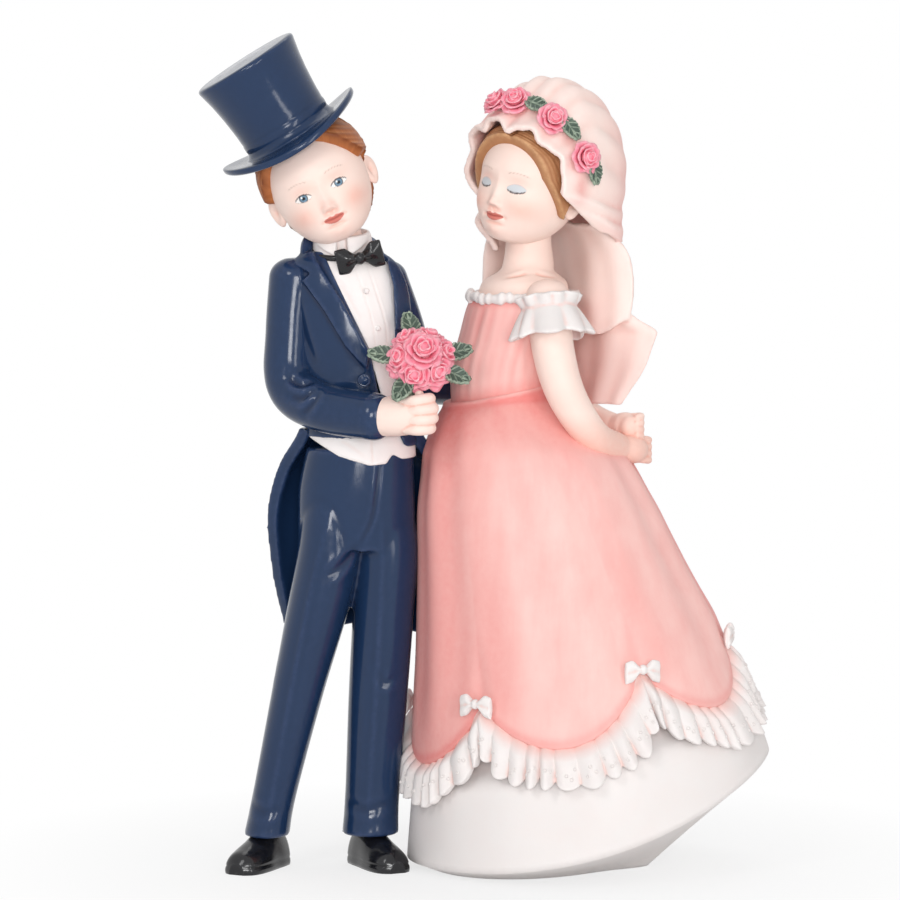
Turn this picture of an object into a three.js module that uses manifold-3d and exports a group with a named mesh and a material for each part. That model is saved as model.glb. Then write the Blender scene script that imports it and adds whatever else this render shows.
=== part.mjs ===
// Wedding cake topper: a groom in a top hat and tailcoat who holds a posy, beside a bride in a tiered dress
// and a hooded veil. Every piece is a resin casting, glued to its neighbours along a thin glue line.
// Millimetres, +Z up. The couple faces -Y, and the origin is under the middle of the figurine.
import * as THREE from "three";
import { mergeVertices } from "three/addons/utils/BufferGeometryUtils.js";
import Module from "manifold-3d";

const wasm = await Module();
wasm.setup();

// Assembly
const GLUE_LINE = 0.35;

// Heads of both figures
const HEAD_WIDTH = 17.4;
const HEAD_HEIGHT = 20.8;
const HEAD_DEPTH = 19.5;
const EAR_LENGTH = 4.6;
const HAIR_THICKNESS = 1.5;
const HAIR_CLEARANCE = 0.6;
const NECK_WIDTH = 8.6;

// Groom: legs and shoes
const GROOM_X = -23.6;
const SHOE_LENGTH = 15.6;
const SHOE_WIDTH = 7.2;
const SHOE_HEIGHT = 7.4;
const TOE_OUT = 28;
const RIGHT_FOOT_X = -14.5;
const LEFT_FOOT_X = 3.7;
const TROUSER_HEM = 6.6;
const HEM_WIDTH = 8.8;
const KNEE_WIDTH = 9.8;
const THIGH_WIDTH = 11.5;
const CROTCH_HEIGHT = 57;
const HIP_WIDTH = 20.6;
const HIP_DEPTH = 16;
const HIP_X = 1.7;
const WAIST_X = 2.3;
const TROUSER_RISE = 17;

// Groom: coat, waistcoat and shirt
const COAT_LENGTH = 33;
const WAIST_WIDTH = 19.4;
const CHEST_WIDTH = 21.6;
const CHEST_DEPTH = 16.6;
const COAT_LEAN = 3;
const SHIRT_RECESS = 0.5;
const LAPEL_THICKNESS = 0.9;
const WAISTCOAT_DROP = 4.6;
const WAISTCOAT_RISE = 3;
const TAIL_LENGTH = 36;
const TAIL_FLARE = 7.3;
const TAIL_THICKNESS = 2.2;
const SLEEVE_WIDTH = 9.2;
const CUFF_WIDTH = 8.4;
const UPPER_ARM_LENGTH = 18.5;
const FOREARM_LENGTH = 19.6;
const HAND_LENGTH = 10.5;
const HAND_WIDTH = 7.4;
const COLLAR_HEIGHT = 3.4;
const BOW_TIE_WIDTH = 8.6;
const BOW_TIE_HEIGHT = 4.8;
const BOW_TIE_DEPTH = 2;
const TIE_BAND_WIDTH = 1.1;
const COAT_BUTTON_DIAMETER = 2.4;
const STUD_DIAMETER = 1.3;

// Groom: head pose and top hat
const GROOM_HEAD_TILT = -25.5;
const GROOM_HEAD_LEAN = 4;
const HAT_TILT = -7;
const HAT_SEAT = 8.5;
const CROWN_HEIGHT = 16.8;
const CROWN_TOP_DIAMETER = 19.6;
const CROWN_BASE_DIAMETER = 16.2;
const BRIM_DIAMETER = 27;
const BRIM_THICKNESS = 1.6;
const BRIM_CURL = 2.2;
const BRIM_DROOP = 0.9;
const BAND_HEIGHT = 3;
const BAND_THICKNESS = 0.3;

// Posy of roses
const POSY_DIAMETER = 11.5;
const POSY_ROSE_DIAMETER = 6;
const POSY_ROSE_COUNT = 6;
const POSY_LEAF_LENGTH = 5.6;
const POSY_STEM_DIAMETER = 3;
const POSY_STEM_LENGTH = 9.5;

// Bride: skirts
const BRIDE_X = 8.6;
const BRIDE_Y = 2;
const SKIRT_HEIGHT = 84;
const SKIRT_SWING = 16.3;
const DRESS_WAIST_X = -4.6;
const DRESS_HEM_WIDTH = 68;
const DRESS_HEM_DEPTH = 58;
const DRESS_WAIST_WIDTH = 19;
const HEM_LIFT_LOW = 1.5;
const HEM_LIFT_HIGH = 21;
const BASE_INSET = 4;
const UNDERCUT = 1;
const OVERSKIRT_THICKNESS = 2.2;
const SCALLOP_COUNT = 6;
const SCALLOP_DEPTH = 9;
const SCALLOP_LOW = 19.6;
const SCALLOP_RISE = 12.8;
const SCALLOP_START = -67;
const RUFFLE_WIDTH = 7.6;
const RUFFLE_PLEATS = 26;
const RUFFLE_PLEAT_DEPTH = 1.5;
const HEM_BOW_WIDTH = 6.6;
const HEM_BOW_HEIGHT = 4.4;
const HEM_BOW_DEPTH = 2;

// Bride: bodice, arms and shoulders
const BODICE_HEIGHT = 17.5;
const BUST_WIDTH = 19.2;
const BUST_DEPTH = 19;
const BODICE_LEAN = 3.6;
const SHOULDER_HEIGHT = 5.5;
const BRIDE_NECK_HEIGHT = 8;
const ARM_WIDTH = 7.6;
const WRIST_WIDTH = 5.2;
const CLASP_REACH = 15.6;
const CLASP_DROP = 8.8;
const FRILL_WIDTH = 13;
const FRILL_HEIGHT = 5.4;
const FRILL_THICKNESS = 1.4;
const FRILL_WAVES = 7;
const NECKLINE_FRILL = 2.6;

// Bride: head pose and veil
const BRIDE_HEAD_TURN = -38;
const BRIDE_HEAD_TILT = 13;
const HOOD_WIDTH = 26.4;
const HOOD_DEPTH = 25.8;
const HOOD_RISE = 19;
const HOOD_LEG = 13;
const HOOD_EAR_DROP = 4.6;
const HOOD_THICKNESS = 1.4;
const HOOD_RIM_WAVE = 1.6;
const HOOD_RIM_LOBES = 5;
const TRAIN_RISE = 12.6;
const TRAIN_LENGTH = 32;
const TRAIN_GATHER = 6;
const TRAIN_RADIUS = 20;
const TRAIN_THICKNESS = 1.5;
const TRAIN_CORNER = 4.6;
const TRAIN_FOLD = 0.7;
const VEIL_ROSE_DIAMETER = 5.6;
const VEIL_LEAF_LENGTH = 4.6;

// Facet counts
const BODY_SIDES = 20;
const LIMB_SIDES = 10;
const SKIRT_SIDES = 32;
const NECKLINE_SIDES = 24;
const FACET_TOLERANCE = 0.1;

const UP = new THREE.Vector3(0, 0, 1);
const point = (x, y, z) => new THREE.Vector3(x, y, z);
const mix = THREE.MathUtils.lerp;
const radians = THREE.MathUtils.degToRad;
function painted(colour, roughness) {
  return new THREE.MeshStandardMaterial({ color: colour, roughness, metalness: 0 });
}

const NAVY = painted(0x2a3858, 0.32);
const BLACK = painted(0x17171a, 0.2);
const IVORY = painted(0xf6e6e0, 0.6);
const SKIN = painted(0xf8d6c6, 0.6);
const AUBURN = painted(0xa8562c, 0.55);
const LIGHT_BROWN = painted(0xb98a5e, 0.55);
const CORAL = painted(0xf4978c, 0.6);
const LACE_WHITE = painted(0xf7f0ec, 0.65);
const VEIL_PINK = painted(0xf9cfc6, 0.6);
const ROSE_PINK = painted(0xf06f8f, 0.5);
const LEAF_GREEN = painted(0x4c6650, 0.55);

// Closed geometry from points and triangles, with its faces turned outwards.
function closedGeometry(points, triangles) {
  let volume = 0;
  for (let i = 0; i < triangles.length; i += 3) {
    const [a, b, c] = [0, 1, 2].map((k) => points[triangles[i + k]]);
    volume += a.dot(b.clone().cross(c));
  }
  const turned = volume < 0 ? triangles.slice().reverse() : triangles;
  return new THREE.BufferGeometry().setFromPoints(points).setIndex(turned);
}

// Skin over a run of rings with equal point counts, capped at both ends.
function skin(rings) {
  const sides = rings[0].length;
  const points = rings.flat();
  const last = points.length - sides;
  const middle = (ring) => ring.reduce((sum, p) => sum.add(p), point(0, 0, 0)).divideScalar(sides);
  points.push(middle(rings[0]), middle(rings.at(-1)));
  const triangles = [];
  for (let s = 0; s < sides; s++) {
    const next = (s + 1) % sides;
    for (let base = 0; base < last; base += sides) {
      triangles.push(base + s, base + next, base + sides + s);
      triangles.push(base + next, base + sides + next, base + sides + s);
    }
    triangles.push(last + sides, next, s);
    triangles.push(last + sides + 1, last + s, last + next);
  }
  return closedGeometry(points, triangles);
}

// Sheet of even thickness over a grid of points. A looped sheet joins its two ends into a band.
function sheet(pointAt, across, down, thickness, looped = false) {
  const columns = looped ? across : across + 1;
  const step = 1e-3;
  const faces = [1, -1].map((side) => {
    const grid = [];
    for (let i = 0; i < columns; i++) {
      for (let j = 0; j <= down; j++) {
        const [u, v] = [i / across, j / down];
        const alongU = pointAt(u + step, v).sub(pointAt(u - step, v));
        const alongV = pointAt(u, v + step).sub(pointAt(u, v - step));
        const normal = alongU.cross(alongV).normalize();
        grid.push(pointAt(u, v).addScaledVector(normal, (side * thickness) / 2));
      }
    }
    return grid;
  });
  const rows = down + 1;
  const half = columns * rows;
  const triangles = [];
  const quad = (a, b, c, d) => triangles.push(a, b, c, a, c, d);
  for (let i = 0; i < (looped ? columns : columns - 1); i++) {
    const [here, next] = [i * rows, ((i + 1) % columns) * rows];
    for (let j = 0; j < down; j++) {
      quad(here + j, next + j, next + j + 1, here + j + 1);
      quad(half + here + j, half + here + j + 1, half + next + j + 1, half + next + j);
    }
    quad(here, half + here, half + next, next);
    quad(here + down, next + down, half + next + down, half + here + down);
  }
  if (!looped) {
    const end = (columns - 1) * rows;
    for (let j = 0; j < down; j++) {
      quad(j, j + 1, half + j + 1, half + j);
      quad(end + j, half + end + j, half + end + j + 1, end + j + 1);
    }
  }
  return closedGeometry(faces.flat(), triangles);
}

// Smooth run of values through a list of stations, each a row of numbers.
function smoothRows(stations, steps) {
  const columns = stations[0].map((_, k) => {
    return new THREE.SplineCurve(stations.map((row, i) => new THREE.Vector2(i, row[k])));
  });
  return Array.from({ length: steps + 1 }, (_, i) => columns.map((curve) => curve.getPoint(i / steps).y));
}

// Oval ring about a centre, on two axes.
function ovalRing(centre, across, along, width, depth, sides) {
  return Array.from({ length: sides }, (_, s) => {
    const angle = (2 * Math.PI * s) / sides;
    const spot = centre.clone().addScaledVector(across, (Math.cos(angle) * width) / 2);
    return spot.addScaledVector(along, (Math.sin(angle) * depth) / 2);
  });
}

// Upright body of level ovals. A station holds height, x, y, width and depth.
function stack(stations, steps, sides = BODY_SIDES) {
  const rings = smoothRows(stations, steps).map(([z, x, y, width, depth]) => {
    return ovalRing(point(x, y, z), point(1, 0, 0), point(0, 1, 0), width, depth, sides);
  });
  return skin(rings);
}

// Limb of round sections along a smooth path, with a dome on its first or last end where asked.
function limb(path, widths, steps, sides = LIMB_SIDES, domes = [false, false]) {
  const curve = new THREE.CatmullRomCurve3(path);
  const frames = curve.computeFrenetFrames(steps);
  const sizes = new THREE.SplineCurve(widths.map((w, i) => new THREE.Vector2(i, w)));
  const rings = frames.normals.map((normal, i) => {
    const width = sizes.getPoint(curve.getUtoTmapping(i / steps)).y;
    return ovalRing(curve.getPointAt(i / steps), normal, frames.binormals[i], width, width, sides);
  });
  const dome = (i, sign) => {
    const width = widths.at(sign < 0 ? 0 : -1);
    return [0.5, 0.85].map((rise) => {
      const end = curve.getPointAt(sign < 0 ? 0 : 1);
      const centre = end.addScaledVector(frames.tangents[i], (sign * rise * width) / 2);
      const across = width * Math.sqrt(1 - rise * rise);
      return ovalRing(centre, frames.normals[i], frames.binormals[i], across, across, sides);
    });
  };
  if (domes[0]) rings.unshift(...dome(0, -1).reverse());
  if (domes[1]) rings.push(...dome(steps, 1));
  return skin(rings);
}

// Solid of revolution about Z from a profile of radius and height.
function turned(profile, sides) {
  const points = profile.map(([radius, height]) => new THREE.Vector2(radius, height));
  return new THREE.LatheGeometry(points, sides).rotateX(Math.PI / 2);
}

// Prism of an outline in the XZ plane, from one Y to another.
function frontPrism(outline, fromY, toY) {
  const shape = new THREE.Shape(outline.map(([x, z]) => new THREE.Vector2(x, z)));
  const prism = new THREE.ExtrudeGeometry(shape, { depth: toY - fromY, bevelEnabled: false });
  return prism.rotateX(Math.PI / 2).translate(0, toY, 0);
}

// Prism of an outline in the YZ plane, centred on X.
function sidePrism(outline, width) {
  return frontPrism(outline, -width / 2, width / 2).rotateZ(Math.PI / 2);
}

// Solid of a closed geometry.
function solidOf(geometry) {
  const bare = geometry.clone();
  bare.deleteAttribute("normal");
  bare.deleteAttribute("uv");
  const merged = mergeVertices(bare, 1e-4);
  const triVerts = new Uint32Array(merged.index.array);
  const corners = triVerts.length / 3;
  const kept = [];
  for (let i = 0; i < corners; i++) {
    const [a, b, c] = triVerts.subarray(3 * i, 3 * i + 3);
    if (a !== b && b !== c && c !== a) kept.push(a, b, c);
  }
  const vertProperties = new Float32Array(merged.attributes.position.array);
  return new wasm.Manifold(new wasm.Mesh({ numProp: 3, vertProperties, triVerts: new Uint32Array(kept) }));
}

// The same solid with every face moved outwards by a distance.
function grown(solid, distance) {
  const mesh = solid.getMesh();
  const count = mesh.numVert;
  const corner = (i) => new THREE.Vector3().fromArray(mesh.vertProperties, i * mesh.numProp);
  const normals = Array.from({ length: count }, () => point(0, 0, 0));
  const around = Array.from({ length: count }, () => []);
  for (let t = 0; t < mesh.triVerts.length; t += 3) {
    const ids = [0, 1, 2].map((k) => mesh.triVerts[t + k]);
    const [a, b, c] = ids.map(corner);
    const facing = b.clone().sub(a).cross(c.clone().sub(a)).normalize();
    ids.forEach((id, k) => {
      const spot = corner(id);
      const one = corner(ids[(k + 1) % 3]).sub(spot);
      const other = corner(ids[(k + 2) % 3]).sub(spot);
      normals[id].addScaledVector(facing, one.angleTo(other));
      around[id].push(facing);
    });
  }
  const steepest = 0.6;
  const vertProperties = new Float32Array(count * 3);
  normals.forEach((normal, i) => {
    normal.normalize();
    const least = around[i].reduce((low, facing) => Math.min(low, normal.dot(facing)), 1);
    corner(i).addScaledVector(normal, distance / Math.max(steepest, least)).toArray(vertProperties, i * 3);
  });
  return new wasm.Manifold(new wasm.Mesh({ numProp: 3, vertProperties, triVerts: mesh.triVerts }));
}

function geometryOf(solid) {
  const mesh = solid.getMesh();
  const geometry = new THREE.BufferGeometry();
  geometry.setAttribute("position", new THREE.BufferAttribute(new Float32Array(mesh.vertProperties), 3));
  return geometry.setIndex(new THREE.BufferAttribute(new Uint32Array(mesh.triVerts), 1));
}

const cut = (piece, ...tools) => tools.reduce((rest, tool) => rest.subtract(tool), piece);
const overlapping = (a, b) => {
  const [boxA, boxB] = [a.boundingBox(), b.boundingBox()];
  return [0, 1, 2].every((k) => boxA.min[k] < boxB.max[k] && boxB.min[k] < boxA.max[k]);
};

// How far facets may stray from the true form: less on a small piece.
function facetTolerance(solid) {
  const { min, max } = solid.boundingBox();
  const longest = Math.max(...[0, 1, 2].map((k) => max[k] - min[k]));
  return Math.min(FACET_TOLERANCE, longest * 0.012);
}

// Adds a piece to the figurine. Pieces that are already there keep their shape: the new piece is trimmed
// back from each of them by the glue line.
const seated = [];
function place(group, name, material, form) {
  group.updateWorldMatrix(true, false);
  const whole = (form.isBufferGeometry ? solidOf(form) : form).transform(group.matrixWorld.elements);
  const neighbours = seated.filter((other) => overlapping(whole, other));
  const trimmed = cut(whole, ...neighbours);
  const tolerance = facetTolerance(whole);
  const bodies = trimmed.asOriginal().simplify(tolerance).decompose();
  const largest = bodies.sort((a, b) => b.volume() - a.volume())[0];
  const tool = whole.asOriginal().simplify(tolerance / 2);
  seated.push(grown(tool, GLUE_LINE).add(grown(largest, GLUE_LINE / 2)));
  const local = largest.transform(group.matrixWorld.clone().invert().elements);
  const mesh = new THREE.Mesh(geometryOf(local), material);
  mesh.name = name;
  group.add(mesh);
  return whole;
}

// Group at a spot of its parent.
function groupAt(parent, spot, rotation = [0, 0, 0]) {
  const group = new THREE.Group();
  group.position.copy(spot);
  group.rotation.set(...rotation.map(radians));
  parent.add(group);
  return group;
}

// Group that stands on a spot with its own Z along a normal.
function groupOn(parent, spot, normal) {
  const group = groupAt(parent, spot);
  group.quaternion.setFromUnitVectors(UP, normal.clone().normalize());
  return group;
}

// Solid of a form that sits in a group, in the frame of the group's parent.
function inParent(group, form) {
  group.updateMatrix();
  return solidOf(form).transform(group.matrix.elements);
}

// Head seen from its own middle: height, forward shift, width and depth as shares of the head's sizes.
const HEAD_SHAPE = [
  [-0.5, -0.2, 0.2, 0.2],
  [-0.47, -0.15, 0.44, 0.42],
  [-0.38, -0.08, 0.7, 0.68],
  [-0.22, -0.03, 0.91, 0.88],
  [-0.02, 0, 1, 0.98],
  [0.16, 0, 1, 1],
  [0.32, 0.02, 0.88, 0.9],
  [0.43, 0.03, 0.62, 0.64],
  [0.49, 0.03, 0.26, 0.28],
];

function headForm(extra = 0) {
  const stations = HEAD_SHAPE.map(([z, y, width, depth]) => {
    const spread = 1 + (2 * extra) / HEAD_WIDTH;
    return [
      z * HEAD_HEIGHT * spread,
      0,
      y * HEAD_DEPTH,
      width * HEAD_WIDTH * spread,
      depth * HEAD_DEPTH * spread,
    ];
  });
  return solidOf(stack(stations, 8, 16));
}

// Ear on one side, sunk into the head's side.
function earForm(side) {
  const ear = new THREE.SphereGeometry(EAR_LENGTH / 2, 10, 6).scale(0.42, 0.62, 1);
  return solidOf(ear.translate((side * HEAD_WIDTH) / 2, EAR_LENGTH * 0.22, -EAR_LENGTH * 0.22));
}

// Hair over the head, open where the face is: its outline in the YZ plane is in shares of the head's sizes.
function hairForm(faceOutline) {
  const outline = faceOutline.map(([y, z]) => [y * HEAD_DEPTH, z * HEAD_HEIGHT]);
  const face = solidOf(sidePrism(outline, 2 * HEAD_WIDTH));
  return cut(headForm(HAIR_THICKNESS), headForm(HAIR_CLEARANCE), face);
}

// Bow of two loops with a knot between them, across X, with its back on the XZ plane.
function bowForm(width, height, depth) {
  const shares = [
    [-0.5, 0.8, 0.45],
    [-0.46, 1, 0.7],
    [-0.28, 0.86, 1],
    [-0.1, 0.34, 0.7],
    [0, 0.42, 0.95],
    [0.1, 0.34, 0.7],
    [0.28, 0.86, 1],
    [0.46, 1, 0.7],
    [0.5, 0.8, 0.45],
  ];
  const rings = shares.map(([x, tall, deep]) => {
    return ovalRing(point(x * width, -depth / 2, 0), UP, point(0, 1, 0), tall * height, deep * depth, 8);
  });
  return skin(rings);
}

// Rose with three tiers of petals about Z, with its heart on top.
function roseForm(diameter) {
  const r = diameter / 2;
  const tiers = [
    [0, -0.55],
    [0.62, -0.5],
    [0.98, -0.05],
    [1, 0.2],
    [0.84, 0.26],
    [0.68, 0.16],
    [0.66, 0.44],
    [0.48, 0.5],
    [0.34, 0.38],
    [0.3, 0.62],
    [0, 0.66],
  ];
  return turned(tiers.map(([radius, height]) => [radius * r, height * r]), 9);
}

// Leaf that lies along X from its stalk, folded a little along its midrib.
function leafForm(length) {
  const broad = length * 0.62;
  const fold = length * 0.1;
  const outline = (u) => 0.12 + 0.88 * Math.sin(Math.PI * Math.min(0.98, 0.06 + 0.92 * u)) ** 0.8;
  const pointAt = (u, v) => {
    const across = (v - 0.5) * broad * outline(u);
    return point(u * length, across, fold * Math.abs(2 * v - 1) + fold * u * (1 - u));
  };
  return sheet(pointAt, 4, 2, length * 0.13);
}

// Groom

const figurine = new THREE.Group();
const groom = groupAt(figurine, point(GROOM_X, 0, 0));
const waistHeight = CROTCH_HEIGHT + TROUSER_RISE;
const coatHem = waistHeight + WAISTCOAT_RISE;
const shoulderHeight = coatHem + COAT_LENGTH;
const neckX = WAIST_X - COAT_LEAN;

// Collar of the shirt, tilted with the neck.
const neckBase = point(neckX, CHEST_DEPTH * 0.06, shoulderHeight);
const collarRadius = NECK_WIDTH * 0.605;
const collarProfile = [
  [0, -COLLAR_HEIGHT * 0.6],
  [collarRadius + COLLAR_HEIGHT * 0.12, -COLLAR_HEIGHT * 0.6],
  [collarRadius, COLLAR_HEIGHT * 0.5],
  [collarRadius - COLLAR_HEIGHT * 0.15, COLLAR_HEIGHT],
  [0, COLLAR_HEIGHT],
];
const headPivot = neckBase.clone().add(point(-GROOM_HEAD_LEAN, -HEAD_DEPTH * 0.113, HEAD_HEIGHT * 0.57));
const neckHeading = headPivot.clone().sub(neckBase);
neckHeading.add(point(HEAD_HEIGHT * 0.136, 0, HEAD_HEIGHT * 0.273));
const collarGroup = groupOn(groom, neckBase, neckHeading);
place(collarGroup, "shirt_collar", IVORY, turned(collarProfile, 16));

// How far back the middle of the coat's trunk lies at a share of its height.
const trunkBack = (share) => CHEST_DEPTH * (0.018 + 0.042 * share);

// Trunk of the coat: each row holds a share of its height, its lean, its width and a share of its depth.
function trunkForm(shrink = 0) {
  const shape = [
    [0, 0, WAIST_WIDTH, 0.93],
    [0.14, 0.08, WAIST_WIDTH, 0.93],
    [0.36, 0.3, mix(WAIST_WIDTH, CHEST_WIDTH, 0.6), 0.98],
    [0.58, 0.55, CHEST_WIDTH, 1],
    [0.75, 0.75, CHEST_WIDTH * 0.98, 0.94],
    [0.865, 0.88, CHEST_WIDTH * 0.93, 0.84],
    [0.945, 0.96, CHEST_WIDTH * 0.82, 0.7],
    [1, 1, CHEST_WIDTH * 0.6, 0.56],
  ];
  const stations = shape.map(([up, lean, width, depth]) => [
    coatHem + up * COAT_LENGTH,
    mix(WAIST_X, neckX, lean),
    trunkBack(up),
    width - 2 * shrink,
    depth * CHEST_DEPTH - 2 * shrink,
  ]);
  return solidOf(stack(stations, 9));
}

// How far forward the front of the coat's trunk lies at a spot of the front view.
function onTrunk(x, z) {
  const share = (z - coatHem) / COAT_LENGTH;
  const middleX = mix(WAIST_X, neckX, share);
  const width = mix(WAIST_WIDTH, CHEST_WIDTH, Math.min(1, share / 0.58));
  const round = Math.sqrt(Math.max(0, 1 - ((2 * (x - middleX)) / width) ** 2));
  return trunkBack(share) - (CHEST_DEPTH / 2) * round * mix(0.95, 1, share);
}

// Outlines on the coat front, in shares of the waist's width and the coat's length from its hem.
const coatOutline = (spots) => {
  return spots.map(([x, up]) => [WAIST_X + x * WAIST_WIDTH, coatHem + up * COAT_LENGTH]);
};
const FRONT = -30;
const openingRightSide = [
  [-0.402, 1.091],
  [-0.232, 0.873],
  [0.098, 0.479],
  [0.175, 0.242],
  [0.165, -0.03],
];
const openingLeftSide = [
  [0.37, -0.03],
  [0.32, 0.576],
  [0.299, 0.894],
  [0.113, 1.091],
];
// Opening of the coat front down to a depth inside the chest, wider all round by a margin.
function openingForm(margin) {
  const one = coatOutline(openingRightSide).map(([x, z]) => [x - margin, z]);
  const other = coatOutline(openingLeftSide).map(([x, z]) => [x + margin, z]);
  return solidOf(frontPrism([...one, ...other], FRONT, margin - CHEST_DEPTH * 0.06));
}
const opening = openingForm(0);
const trunk = trunkForm();
const lapels = {
  right_lapel: [
    [-0.51, 1.091],
    [-0.402, 0.964],
    [-0.149, 0.733],
    [0.088, 0.479],
    [0.072, 0.376],
    [-0.124, 0.503],
    [-0.325, 0.697],
    [-0.521, 0.848],
    [-0.438, 0.888],
    [-0.634, 0.939],
    [-0.649, 1.03],
  ],
  left_lapel: [
    [0.17, 1.067],
    [0.242, 0.967],
    [0.309, 0.815],
    [0.33, 0.582],
    [0.479, 0.582],
    [0.459, 0.761],
    [0.423, 0.864],
    [0.371, 0.903],
    [0.433, 0.927],
    [0.371, 0.994],
    [0.268, 1.055],
  ],
};
const coatWithLapels = Object.values(lapels).reduce((coat, spots) => {
  const patch = solidOf(frontPrism(coatOutline(spots), FRONT, -1));
  return coat.add(grown(trunk, LAPEL_THICKNESS).intersect(patch));
}, cut(trunk, openingForm(GLUE_LINE)));

// Domed button with its back at the origin, facing -Y.
function buttonForm(diameter) {
  const r = diameter / 2;
  const dome = [
    [0, -0.9 * r],
    [r * 0.86, -0.9 * r],
    [r, 0.1 * r],
    [r * 0.7, 0.55 * r],
    [0, 0.7 * r],
  ];
  return turned(dome, 10).rotateX(Math.PI / 2);
}

// Spot on the coat front in the same shares, sunk inwards by a depth.
function onCoat([x, up], sunk = 0) {
  const [[frontX, frontZ]] = coatOutline([[x, up]]);
  return point(frontX, onTrunk(frontX, frontZ) + sunk, frontZ);
}
const studs = [
  [0.067, 0.794],
  [0.17, 0.594],
];
const shirt = studs.reduce((front, spot) => {
  const { x, y, z } = onCoat(spot, SHIRT_RECESS);
  return front.add(solidOf(buttonForm(STUD_DIAMETER).translate(x, y, z)));
}, trunkForm(SHIRT_RECESS).intersect(opening));
place(groom, "shirt_front", IVORY, shirt);
place(groom, "coat_body", NAVY, coatWithLapels);
const buttonGroup = groupAt(groom, onCoat([0.046, 0.321], -LAPEL_THICKNESS));
place(buttonGroup, "coat_button", NAVY, buttonForm(COAT_BUTTON_DIAMETER));

const waistcoatForm = solidOf(
  stack(
    [
      [coatHem - 2 * WAISTCOAT_DROP, HIP_X, trunkBack(0), HIP_WIDTH * 0.97, HIP_DEPTH * 0.99],
      [coatHem - 1.1 * WAISTCOAT_DROP, WAIST_X, trunkBack(0), WAIST_WIDTH * 1.026, CHEST_DEPTH * 0.94],
      [coatHem, WAIST_X, trunkBack(0), WAIST_WIDTH, CHEST_DEPTH * 0.92],
    ],
    3,
  ),
);
const waistcoatEdge = [
  [-0.84, 0.22],
  [-0.84, -0.09],
  [-0.49, 0.09],
  [-0.19, -0.65],
  [0.088, -1],
  [0.242, -0.957],
  [0.3, -0.587],
  [0.387, -0.804],
  [0.706, -0.739],
  [0.706, 0.22],
].map(([x, up]) => [WAIST_X + x * WAIST_WIDTH, coatHem + up * WAISTCOAT_DROP]);
const waistcoatBand = solidOf(frontPrism(waistcoatEdge, FRONT, -FRONT));
place(groom, "waistcoat", IVORY, waistcoatForm.intersect(waistcoatBand));

const legTopX = { right: HIP_X - HIP_WIDTH * 0.23, left: HIP_X + HIP_WIDTH * 0.24 };
const seat = [
  [CROTCH_HEIGHT, HIP_X, HIP_DEPTH * 0.025, HIP_WIDTH * 1.02, HIP_DEPTH * 0.86],
  [CROTCH_HEIGHT + TROUSER_RISE * 0.3, HIP_X, HIP_DEPTH * 0.037, HIP_WIDTH * 1.015, HIP_DEPTH * 0.97],
  [CROTCH_HEIGHT + TROUSER_RISE * 0.65, HIP_X, HIP_DEPTH * 0.037, HIP_WIDTH, HIP_DEPTH],
  [CROTCH_HEIGHT + TROUSER_RISE * 1.07, WAIST_X, HIP_DEPTH * 0.025, WAIST_WIDTH * 0.98, CHEST_DEPTH * 0.9],
];
const legs = [
  ["right", RIGHT_FOOT_X, legTopX.right, -KNEE_WIDTH * 0.1, 0.91],
  ["left", LEFT_FOOT_X, legTopX.left, KNEE_WIDTH * 0.08, 1.09],
];
const legForms = legs.map(([, footX, topX, y, fullness]) => {
  const rise = CROTCH_HEIGHT - TROUSER_HEM;
  const kneeWidth = KNEE_WIDTH * mix(1, fullness, 0.6);
  const lowThighWidth = mix(KNEE_WIDTH, THIGH_WIDTH, 0.7);
  const stations = [
    [TROUSER_HEM, footX, y, HEM_WIDTH * fullness, HEM_WIDTH * 1.16],
    [TROUSER_HEM + rise * 0.12, mix(footX, topX, 0.12), y, HEM_WIDTH * 0.98 * fullness, HEM_WIDTH * 1.1],
    [TROUSER_HEM + rise * 0.48, mix(footX, topX, 0.48), y - KNEE_WIDTH * 0.06, kneeWidth, KNEE_WIDTH * 1.05],
    [TROUSER_HEM + rise * 0.78, mix(footX, topX, 0.8), y, lowThighWidth, THIGH_WIDTH * 1.1],
    [CROTCH_HEIGHT, topX, y + THIGH_WIDTH * 0.035, THIGH_WIDTH, THIGH_WIDTH * 1.18],
  ];
  return solidOf(stack(stations, 6, 12));
});
const trousers = legForms.reduce((body, leg) => body.add(leg), solidOf(stack(seat, 6)));
place(groom, "trousers", NAVY, trousers);

// Shoe along -Y with a flat sole, its ankle over the origin.
function shoeForm() {
  const shape = [
    [0.3, 0.3, 0.5],
    [0.26, 0.72, 0.85],
    [0.12, 0.86, 1],
    [-0.08, 0.92, 1],
    [-0.28, 1, 0.74],
    [-0.48, 0.98, 0.56],
    [-0.62, 0.76, 0.46],
    [-0.69, 0.36, 0.26],
  ];
  const rings = smoothRows(shape, 10).map(([along, wide, tall]) => {
    return Array.from({ length: 14 }, (_, s) => {
      const angle = (2 * Math.PI * s) / 14;
      const height = Math.max(0, Math.sin(angle)) * tall * SHOE_HEIGHT;
      return point((Math.cos(angle) * wide * SHOE_WIDTH) / 2, along * SHOE_LENGTH, height);
    });
  });
  return skin(rings);
}
for (const [side, footX, , y] of legs) {
  const turn = side === "right" ? -TOE_OUT : TOE_OUT;
  const foot = groupAt(groom, point(footX, y, 0), [0, 0, turn]);
  place(foot, `${side}_shoe`, BLACK, shoeForm());
}

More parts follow.
